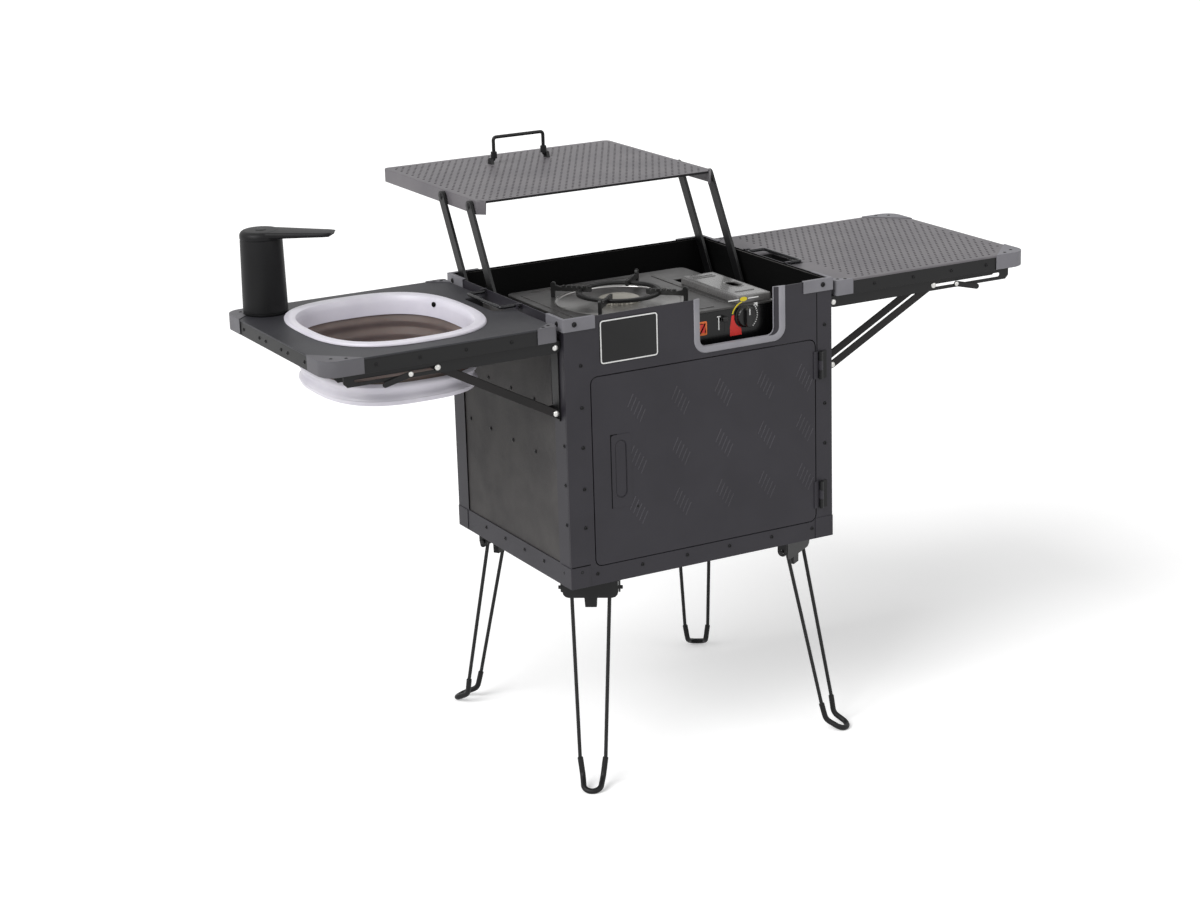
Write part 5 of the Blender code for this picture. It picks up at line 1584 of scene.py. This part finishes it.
        def printed(name: str, outlines: Sequence[Outline], finish: Finish) -> None:
            """Prints flat shapes on the panel."""
            shapes = [plate(shape, Axis.Y, face + self.ink, face - self.ink) for shape in outlines]
            piece(name, joined(shapes), finish, "chassis")

        def band(inner: float, outer: float, start: float, end: float) -> Outline:
            """A part of a ring round the knob."""
            return arc(centre, outer, start, end, 16) + arc(centre, inner, end, start, 16)

        corner = (centre[0] - 0.0275, centre[1] - 0.0290)
        red = arc(centre, radius + 0.0016, 248, 168, 16)
        red += [(centre[0] - 0.0240, centre[1] + 0.0035), (corner[0], corner[1] + 0.014)]
        red += [(corner[0], corner[1]), (centre[0] - 0.0060, corner[1])]
        printed("dial_low_mark", [red[::-1]], INK_RED)
        oval = [(centre[0] - 0.002 + 0.0066 * math.cos(t / 10 * math.pi),
                 centre[1] + 0.0270 + 0.0036 * math.sin(t / 10 * math.pi)) for t in range(20)]
        printed("dial_yellow_marks", [band(radius + 0.0042, radius + 0.0062, 102, 166), oval], INK_YELLOW)
        line = centre[1] + 0.0272
        bars = [rounded(centre[0] - 0.030, centre[0] - 0.0105, line - 0.0008, line + 0.0008, SQUARE)]
        bars += [rounded(centre[0] + 0.0065, centre[0] + 0.0255, line - 0.0008, line + 0.0008, SQUARE)]
        steps = [(r, r + 5) for r in range(-52, 40, 9)]
        bars += [band(radius + 0.0040, radius + 0.0058, start, end) for start, end in steps]
        arrow = [(centre[0] + 0.0165, centre[1] + 0.0185), (centre[0] + 0.0235, centre[1] + 0.0185)]
        arrow += [(centre[0] + 0.0235, centre[1] + 0.0115)]
        bars.append(arrow)
        tick = rounded(lever_x - 0.0088, lever_x - 0.0070, 0.366, 0.386, SQUARE)
        bars += [tick, rounded(lever_x - 0.0110, lever_x - 0.0048, 0.3865, 0.3882, SQUARE)]
        printed("dial_white_marks", bars, INK_WHITE)
        window = rounded(0.0075, 0.0235, 0.3615, 0.3835, (0.002,) * 4)
        shape = cushion(window, Axis.Y, face + 0.0004, face - 0.0006, 0.0004)
        piece("spark_window", shape, INK_ORANGE, "chassis")
        shape = plate(inset(window, 0.004), Axis.Y, face, face - 0.0008)
        piece("spark_window_dot", shape, INK_RED, "chassis")
        self.knob(centre, radius, knob_low.y, knob_high.y)
        tab = cushion(
            rounded(lever_low.x, lever_high.x, lever_low.z, lever_high.z, (0.0022,) * 4), Axis.Y,
            front - 0.0018, lever_low.y, 0.0018,
        )
        stem = plate(
            rounded(lever_x - 0.0015, lever_x + 0.0015, lever_low.z + 0.001, lever_high.z - 0.001, SQUARE),
            Axis.Y, front + 0.005, front - 0.002,
        )
        shape = joined([tab, stem])
        piece("lock_lever", shape, PHENOLIC, "stove_lock_lever", 0.0, ["stove_lock_lever"])

    def knob(self, centre: Point, radius: float, front: float, back: float) -> None:
        """Makes the knob: a knurled skirt, a face and an upright grip.

        Args:
            centre: Its middle, as x and z.
            radius: Its radius.
            front: The plane of its face.
            back: The plane of its foot.
        """
        depth = back - front
        rings = []
        for out, height, deep in self.skirt_rows:
            ring = []
            for step in range(72):
                angle = math.radians(5 * step)
                reach = radius - out - (deep if step % 3 else 0.0)
                ring.append((reach * math.cos(angle), reach * math.sin(angle), height))
            rings.append(ring)
        skirt = moved(loft(rings), (centre[0], back, centre[1]), (0, -1, 0))
        grip = cushion(
            rounded(centre[0] - 0.0052, centre[0] + 0.0052, centre[1] - radius + 0.0022,
                    centre[1] + radius - 0.0022, (0.0045,) * 4),
            Axis.Y, back - 0.0078, back - depth, 0.0016,
        )
        shape = joined([skirt, grip])
        piece("gas_knob", shape, PHENOLIC, "stove_knob", 0.0, ["stove_knob"])
        x, z, half = *centre, 0.0007
        outline = rounded(x - half, x + half, z + 0.004, z + radius - 0.004, SQUARE)
        mark = plate(outline, Axis.Y, back - depth + SUNK, back - depth - 0.00012)
        piece("gas_knob_mark", mark, INK_WHITE, "stove_knob")

    def build(self) -> None:
        """Makes the stove."""
        self.case()
        self.pan()
        self.support()
        self.can_lid()
        self.controls()


@dataclass
class Boards:
    """The two side boards with their sheets, fascias, corner caps and screws."""

    inner_radius: float = 0.004
    outer_radius: float = 0.025
    slot_half: float = 0.050
    slot_reach: float = 0.033
    sheet: float = 0.0028
    cap_sheet: float = 0.0011
    inner_wing: float = 0.032
    outer_wing: float = 0.062
    inner_share: float = 0.8
    inner_gap: float = 0.0003
    cap_rise: float = 0.0008
    hole_power: float = 2.7
    hole_margin: Point = (0.0138, 0.0183)
    dots: Dots = Dots()

    def outline(self) -> Outline:
        """The right board's outline with its hand slot, counter-clockwise."""
        low, high = span("right_board")
        inner, outer = self.inner_radius, self.outer_radius
        points = rounded(low.x, high.x, low.y, high.y, (inner, outer, outer, inner), 10)
        reach = low.x + self.slot_reach
        points += [(low.x, self.slot_half), *arc((reach - 0.004, self.slot_half - 0.004), 0.004, 90, 0, 4)]
        points += [*arc((reach - 0.004, 0.004 - self.slot_half), 0.004, 0, -90, 4), (low.x, -self.slot_half)]
        return points

    def fascia(self, side: int, holes: Sequence[Outline]) -> None:
        """Makes the black frame under a board's sheet.

        Args:
            side: -1 for the left board and 1 for the right one.
            holes: The openings through it.
        """
        name = "left_board" if side < 0 else "right_board"
        low, high = span(name)
        outline = mirrored(inset(self.outline(), 0.0005), side)
        shape = plate(outline, Axis.Z, low.z, high.z - self.sheet, holes)
        piece(name + "_fascia", shape, BLACK_COAT, name, 0.5)

    def right(self) -> None:
        """Makes the right board's dotted sheet and the frame under it."""
        low, high = span("right_board")
        outline = self.outline()
        bm = bmesh.new()
        lows = [high.z - self.sheet] * len(outline)
        under, border = sheet_rings(bm, outline, lows, high.z, 0.0010)
        area = (low.x + 0.0075, high.x - 0.0075, low.y + 0.0075, high.y - 0.0075)
        reach = low.x + self.slot_reach + 0.0095

        def wanted(x: float, y: float) -> bool:
            """Whether a dot is clear of the corner caps and the hand slot."""
            from_inner, from_outer = x - low.x, high.x - x
            from_side = high.y - abs(y)
            caps = from_inner + from_side > self.inner_wing + 0.008
            caps = caps and from_outer + from_side > self.outer_wing + 0.008
            return caps and not (x < reach and abs(y) < self.slot_half + 0.0095)

        self.dots.face(bm, border, (reach - 0.004, *area[1:]), high.z, wanted)
        bm.faces.new(under[::-1])
        # The dots' walls and floors take the dark finish: darker paint with painted shade.
        piece(
            "right_board_sheet", bm, (LIGHT_COAT, DOT_PAINT_AND_SHADE), "right_board", 0.0,
            ["right_board"],
        )
        inner = rounded(low.x + 0.047, high.x - 0.014, -0.141, 0.141, (0.004,) * 4)
        self.fascia(1, [inner])

    def left(self) -> None:
        """Makes the left board's plain sheet, cut out for the basin, and the frame under it."""
        rim_low, rim_high = span("basin_rim")
        aside, ahead = self.hole_margin
        half = ((rim_high.x - rim_low.x) / 2 - aside, (rim_high.y - rim_low.y) / 2 - ahead)
        hole = superellipse(centre_of(rim_low, rim_high), half, self.hole_power)
        high = span("left_board")[1]
        outline = mirrored(self.outline(), -1)
        shape = plate(outline, Axis.Z, high.z - self.sheet, high.z, [hole])
        piece("left_board_sheet", shape, SLATE, "left_board", 0.7, ["left_board"])
        self.fascia(-1, [inset(hole, -0.0004)])

    def caps(self, side: int) -> None:
        """Makes a board's four corner caps and their screws.

        Args:
            side: -1 for the left board and 1 for the right one.
        """
        name = "left_board" if side < 0 else "right_board"
        low, high = span("right_board")
        grow = self.cap_sheet
        for end_name, end in ENDS.items():
            for place, way, wing, radius, edge_x in (
                ("inner", -1, self.inner_wing, self.inner_radius, low.x),
                ("outer", 1, self.outer_wing, self.outer_radius, high.x),
            ):
                corner = (edge_x - way * radius, high.y - radius)
                edges = []
                for margin in (grow, 0.0001):
                    turn = arc(corner, radius + margin, 90, 0, 10)
                    turn = [(corner[0] + way * (x - corner[0]), y) for x, y in turn]
                    last = (edge_x + way * margin, high.y - wing)
                    if way < 0:
                        last = (edge_x - min(margin, self.inner_gap), high.y - wing * self.inner_share)
                    edges.append([(edge_x - way * wing, high.y + margin), *turn, last])
                band = [(side * x, end * y) for x, y in edges[0] + edges[1][::-1]]
                gusset = [(side * x, end * y) for x, y in edges[0]]
                shapes = [plate(band, Axis.Z, low.z + self.cap_rise, high.z + 0.0001)]
                shapes.append(plate(gusset, Axis.Z, high.z, high.z + grow))
                label = f"board_cap_{'l' if side < 0 else 'r'}{end_name}_{place}"
                finish = NYLON if side > 0 else CAP_DARK
                piece(label, joined(shapes), finish, name, 0.35)
                spots = ((0.62, 0.14), (0.30 if way > 0 else 0.28, 0.30))
                places = [
                    (side * (edge_x - way * wing * along), end * (high.y - wing * deep), high.z + grow)
                    for along, deep in spots
                ]
                heads(
                    label + "_screws", lambda: screw(0.0029, 0.0006), places, (0, 0, 1), SCREW_BLACK,
                    name,
                )

    def side_screws(self, side: int) -> None:
        """Makes the screws along a board's outer and front edges.

        Args:
            side: -1 for the left board and 1 for the right one.
        """
        name = "left_board" if side < 0 else "right_board"
        low, high = span("right_board")
        z = (low.z + high.z) / 2 - 0.001
        places = [(side * high.x, y, z) for y in (-0.118, -0.055, -0.030, 0.030, 0.055, 0.118)]
        heads(
            name + "_outer_screws", lambda: screw(0.0027, 0.0009), places, (side, 0, 0), SCREW_BLACK,
            name,
        )
        for end_name, end in ENDS.items():
            places = [(side * x, end * high.y, z) for x in (0.325, 0.400, 0.475, 0.545)]
            heads(
                name + "_edge_screws_" + end_name, lambda: screw(0.0027, 0.0009), places, (0, end, 0),
                SCREW_BLACK, name,
            )

    def build(self) -> None:
        """Makes both boards."""
        self.right()
        self.left()
        for side in SIDES.values():
            self.caps(side)
            self.side_screws(side)


@dataclass
class Brackets:
    """The four folding brackets with their rivets."""

    rivet_radius: float = 0.0048
    rivet_rise: float = 0.0022
    middle: float = 0.1665
    pivot: Point = (0.250, 0.3845)
    foot_drop: float = 0.1035
    strut_reach: float = 0.1947
    lever_reach: float = 0.239
    lever_drop: float = 0.003

    def build(self) -> None:
        """Dresses the rails, arms, struts and levers, and adds the rivets."""
        for side_name, side in SIDES.items():
            board = "left_board" if side < 0 else "right_board"
            for end_name, end in ENDS.items():
                tag = side_name + end_name
                refined("bracket_rail_" + tag, BLACK_COAT, 0.4)
                refined("bracket_arm_" + tag, BLACK_COAT, 0.4)
                refined("bracket_strut_" + tag, OXIDE, 0.5)
                refined("bracket_lever_" + tag, BLACK_COAT, 0.4)
                self.rivets(tag, side, end, board)

    def rivets(self, tag: str, side: int, end: int, board: str) -> None:
        """Puts a rivet on each pivot of one bracket, on both of its faces.

        Args:
            tag: The bracket's side and end.
            side: -1 for left and 1 for right.
            end: -1 for front and 1 for back, which is the way its outer face looks.
            board: The board's body.
        """
        middle = end * self.middle
        x, z = side * self.pivot[0], self.pivot[1]
        for label, spot, body, reach in (
            ("arm_rivets_", (x, z), board, 0.0188),
            ("foot_rivets_", (x, z - self.foot_drop), "chassis", 0.0153),
            ("strut_rivets_", (x + side * self.strut_reach, z), "bracket_strut_" + tag, 0.0186),
        ):
            shapes = []
            for way in (-1, 1):
                head = rivet(self.rivet_radius, self.rivet_rise)
                shapes.append(moved(head, (spot[0], middle + way * reach, spot[1]), (0, way, 0)))
            piece(label + tag, joined(shapes), ZINC, body)
        place = (x + side * self.lever_reach, middle + end * 0.0208, z - self.lever_drop)
        heads(
            "lever_rivet_" + tag, lambda: rivet(0.0040, 0.0018), [place], (0, end, 0), ZINC,
            "bracket_lever_" + tag,
        )


@dataclass
class Basin:
    """The collapsing basin: a rigid rim and collar, a soft wall and a floor tray."""

    power: float = 2.7
    lip: float = 0.0045
    wall: float = 0.0018
    pleats: int = 3
    pleat: float = 0.005
    keep: float = 0.1026
    collar_margin: Point = (0.015, 0.0195)
    pale_below: float = 0.3575
    count: int = 112

    def ring(self, middle: Point, half: Point, margin: float, z: float) -> Ring:
        """A level ring of the basin's outline.

        Args:
            middle: The basin's middle.
            half: The collar's half sizes.
            margin: How far the ring lies inside the collar's outer face.
            z: Its height.

        Returns:
            The ring's points.
        """
        outline = superellipse(middle, (half[0] - margin, half[1] - margin), self.power, self.count)
        return [Vector((x, y, z)) for x, y in outline]

    def build(self) -> None:
        """Makes the rim with its collar, the wall and the floor."""
        low, high = span("basin_rim")
        middle = centre_of(low, high)
        rim_half = ((high.x - low.x) / 2, (high.y - low.y) / 2)
        half = (rim_half[0] - self.collar_margin[0], rim_half[1] - self.collar_margin[1])
        seat, top = high.z - self.lip, high.z
        rings = []
        for share, z in ((0.0, seat), (0.0, seat + 0.0018), (0.0012, top - 0.0008), (0.0032, top)):
            grown = (rim_half[0] - share, rim_half[1] - share)
            outline = superellipse(middle, grown, self.power, self.count)
            rings.append([Vector((x, y, z)) for x, y in outline])
        profile = [(-0.004, top - 0.0002), (0.0005, top - 0.0016), (0.0030, top - 0.0052)]
        profile += [(0.0042, top - 0.012), (0.0048, low.z + 0.002), (0.0044, low.z)]
        profile += [(0.0, low.z), (0.0, seat)]
        rings += [self.ring(middle, half, margin, z) for margin, z in profile]
        piece(
            "basin_rim_smooth", loft(rings, closed=True), BASIN_WHITE, "left_board", 0.0,
            ["basin_rim"],
        )
        wall_low, wall_high = span("basin_wall")
        rings, inside = [], []
        steps = 8 * self.pleats
        for step in range(steps + 1):
            z = wall_high.z + (wall_low.z - wall_high.z) * step / steps
            fold = self.pleat * (1 - math.cos(2 * math.pi * step * self.pleats / steps)) / 2
            rings.append(self.ring(middle, half, fold, z))
            inside.append(self.ring(middle, half, fold + self.wall, z))
        soft = loft(rings + inside[::-1], closed=True)
        for number, face in enumerate(soft.faces):
            if number < steps * self.count and face.calc_center_median().z < self.pale_below:
                face.material_index = 1
        wall = piece(
            "basin_wall_soft", soft, (SILICONE, BASIN_WHITE), "left_board", 0.0,
            ["basin_wall"],
        )
        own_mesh(wall)
        floor_low, floor_high = span("basin_floor")
        profile = [(0.0105, floor_low.z), (0.0052, floor_low.z), (0.0028, floor_low.z + 0.0009)]
        profile += [(0.0, floor_high.z - 0.0012), (0.0, floor_high.z), (self.wall, floor_high.z)]
        profile += [(0.0052, floor_low.z + 0.0045), (0.010, floor_low.z + 0.0031)]
        shape = loft([self.ring(middle, half, margin, z) for margin, z in profile])
        piece("basin_floor_tray", shape, BASIN_WHITE, "basin_floor", 0.0, ["basin_floor"])
        drain = turned([(0.0105, 0.0), (0.0105, 0.0012), (0.0088, 0.0016), (0.0080, 0.0008)], 32)
        drain = moved(drain, (*middle, floor_low.z + 0.0030))
        piece("basin_drain_plug", drain, BASIN_WHITE, "basin_floor")
        # A black plug where the overflow opens: its black is painted shade of the opening.
        hole = moved(turned([(0.0040, -0.001), (0.0040, 0.0005), (0.0032, 0.0008)], 20),
                     (middle[0] + 0.1125, middle[1] + 0.0640, high.z - 0.0095), (-1, -0.35, 0.1))
        piece("basin_overflow", hole, BLACK_AND_PAINTED_SHADE, "left_board")


@dataclass
class Tap:
    """The pump tap: a tapered body and a turning head with a flat spout."""

    turn: float = -42.6
    reach: float = 0.1175
    root_half: float = 0.027
    tip_half: float = 0.017
    head_radius: float = 0.033
    wall_share: float = 0.35
    dome: float = 0.0085

    def body(self) -> None:
        """Makes the body, with a foot ring and a soft-edged charging cover."""
        low, high = span("faucet_body")
        middle = centre_of(low, high)
        radius = (high.x - low.x) / 2
        height = high.z - low.z
        profile = [(radius - 0.0006, 0.0), (radius, 0.0010), (radius, 0.0036), (radius - 0.0007, 0.0040)]
        profile += [(radius - 0.0007, 0.0046), (radius - 0.0002, 0.0052)]
        profile += [(radius - 0.0022 * share, height * share) for share in (0.25, 0.5, 0.75, 0.97)]
        profile += [(radius - 0.0026, height)]
        shape = moved(turned(profile, 64), (*middle, low.z))
        piece("tap_body", shape, ABS_BLACK, "left_board", 0.0, ["faucet_body"])

    def head(self) -> None:
        """Makes the head with its domed top, the spout blade and the touch key."""
        low, high = span("faucet_spout")
        middle = centre_of(*span("faucet_body"))
        radius, rise = self.head_radius, high.z - low.z
        profile = [(radius - 0.0006, 0.0), (radius, 0.0008), (radius, rise * self.wall_share)]
        for step in range(1, 7):
            turn = math.pi / 2 * step / 6
            inward, upward = self.dome * (1 - math.cos(turn)), (1 - self.wall_share) * math.sin(turn)
            profile.append((radius - inward, rise * self.wall_share + rise * upward))
        head = turned(profile, 64)
        rings = []
        stations = [0.0, 0.15, 0.35, 0.55, 0.75, 0.9, 0.97, 1.0]
        for share in stations:
            x = 0.004 + (self.reach - 0.004) * share
            width = self.root_half + (self.tip_half - self.root_half) * share
            if share > 0.9:
                width -= 0.004 * ((share - 0.9) / 0.1) ** 2
            thick = 0.0105 - 0.0045 * share
            edge = min(thick / 2 - 0.0002, 0.0036)
            outline = rounded(-width, width, rise - thick - 0.0004, rise - 0.0004, (edge,) * 4, 4)
            lean = 0.0035 if share == 1.0 else 0.0
            rings.append([(x - lean * (rise - z) / thick, y, z) for y, z in outline])
        blade = loft(rings)
        key = cushion(circle((0, 0), 0.0085, 32), Axis.Z, rise - 0.001, rise + 0.0006, 0.0005)
        mouth = plate(rounded(self.reach - 0.018, self.reach - 0.006, -0.009, 0.009, (0.004,) * 4), Axis.Z,
                      rise - 0.0072, rise - 0.0060)
        shape = joined([head, blade, key, mouth])
        turn = Matrix.Translation((*middle, low.z)) @ Matrix.Rotation(math.radians(self.turn), 4, "Z")
        bmesh.ops.transform(shape, matrix=turn, verts=shape.verts)
        piece("tap_head", shape, ABS_BLACK, "faucet_spout", 0.0, ["faucet_spout"])

    def build(self) -> None:
        """Makes the tap."""
        self.body()
        self.head()


@dataclass
class SideHandles:
    """The two bent rod handles at the rim of the box."""

    rod: float = 0.0028
    half: float = 0.0555
    reach: float = 0.030
    bend: float = 0.006

    def build(self) -> None:
        """Makes both handles."""
        for name, side in SIDES.items():
            low, high = span("side_handle_" + name)
            z = (low.z + high.z) / 2
            x = side * (max(abs(low.x), abs(high.x)) - self.rod - self.reach)
            out = x + side * self.reach
            corners = [(x, low.y, z), (x, -self.half, z), (out, -self.half, z)]
            corners += [(out, self.half, z), (x, self.half, z), (x, high.y, z)]
            shape = tube(bent(corners, self.bend), self.rod, 16, ROD_TIP)
            piece(
                "side_handle_rod_" + name, shape, HANDLE_COAT, "side_handle_" + name, 0.0,
                ["side_handle_" + name],
            )


@dataclass
class Legs:
    """Four hairpin legs of bent rod with sleeves over their feet, and their brackets."""

    splay: float = 0.214
    rod: float = 0.003
    sleeve: float = 0.0045
    trunnion_half: float = 0.0505
    top_half: float = 0.030
    sleeve_half: float = 0.020
    bend_half: float = 0.016
    sleeve_z: float = -0.262
    bend_z: float = -0.291
    foot_run: float = 0.029
    foot_fall: float = 0.014
    loop: float = 0.014
    sweep: float = 57.0
    mount: Point = (0.1886, 0.1595, -0.015)

    def shank(self, half: float, z: float) -> Vector:
        """A point on a shank, which splays outwards as it goes down."""
        return Vector((-z * self.splay, half, z))

    def rod_shape(self) -> bmesh.types.BMesh:
        """Makes the bare rod of a leg: two pins and two shanks.

        Returns:
            The rod, in the leg's own frame.
        """
        sleeve = self.shank(self.sleeve_half, self.sleeve_z - 0.004)
        halves = []
        for way in (-1, 1):
            path = bent([(0, self.trunnion_half, 0), self.shank(self.top_half, 0), sleeve], 0.007)
            halves.append(tube([Vector((p.x, way * p.y, p.z)) for p in path], self.rod, 16, ROD_TIP))
        return joined(halves)

    def sleeve_shape(self) -> bmesh.types.BMesh:
        """Makes the sleeved foot: the lower shanks and the loop that joins them.

        Returns:
            The sleeve, in the leg's own frame.
        """
        sleeve, bend = self.shank(self.sleeve_half, self.sleeve_z), self.shank(self.bend_half, self.bend_z)
        slope = Vector((self.foot_run, 0, -self.foot_fall))
        centre = bend + slope - slope.normalized() * self.loop
        centre.y = 0
        across, forward = Vector((0, self.loop, 0)), slope.normalized() * self.loop
        half = bent([sleeve, bend, centre + across], 0.008)[:-1]
        turns = [math.pi * step / 16 for step in range(17)]
        loop = [centre + across * math.cos(turn) + forward * math.sin(turn) for turn in turns]
        back = [Vector((p.x, -p.y, p.z)) for p in reversed(half)]
        shape = tube(half + loop + back, self.sleeve, 20, 0.0008)
        floor = -ORIGIN.z - self.mount[2]
        for vert in shape.verts:
            vert.co.z = max(vert.co.z, floor)
        return shape

    def build(self) -> None:
        """Makes the four legs and dresses their brackets."""
        for end_name, end in ENDS.items():
            for side_name, side in SIDES.items():
                tag = end_name + side_name
                angle = self.sweep if side > 0 else 180 - self.sweep
                spot = (side * self.mount[0], end * self.mount[1], self.mount[2])
                turn = Matrix.Translation(spot) @ Matrix.Rotation(math.radians(angle * end), 4, "Z")
                rod, sleeve = self.rod_shape(), self.sleeve_shape()
                for shape in (rod, sleeve):
                    bmesh.ops.transform(shape, matrix=turn, verts=shape.verts)
                piece("leg_rod_" + tag, rod, BLACK_COAT, "leg_" + tag, 0.0, ["leg_" + tag])
                piece("leg_sleeve_" + tag, sleeve, SLEEVE, "leg_" + tag)
                refined("leg_bracket_" + tag, BLACK_COAT, 0.5)


def main() -> None:
    """Builds the studio and every sub-assembly in order."""
    logging.basicConfig(level=logging.INFO, format="%(message)s")
    for part in (
        Studio(), Cabinet(), Door(), Stove(), Lid(), Boards(), Brackets(), Basin(), Tap(),
        SideHandles(), Legs(),
    ):
        LOG.info("building %s", type(part).__name__)
        part.build()


if __name__ == "__main__":
    main()
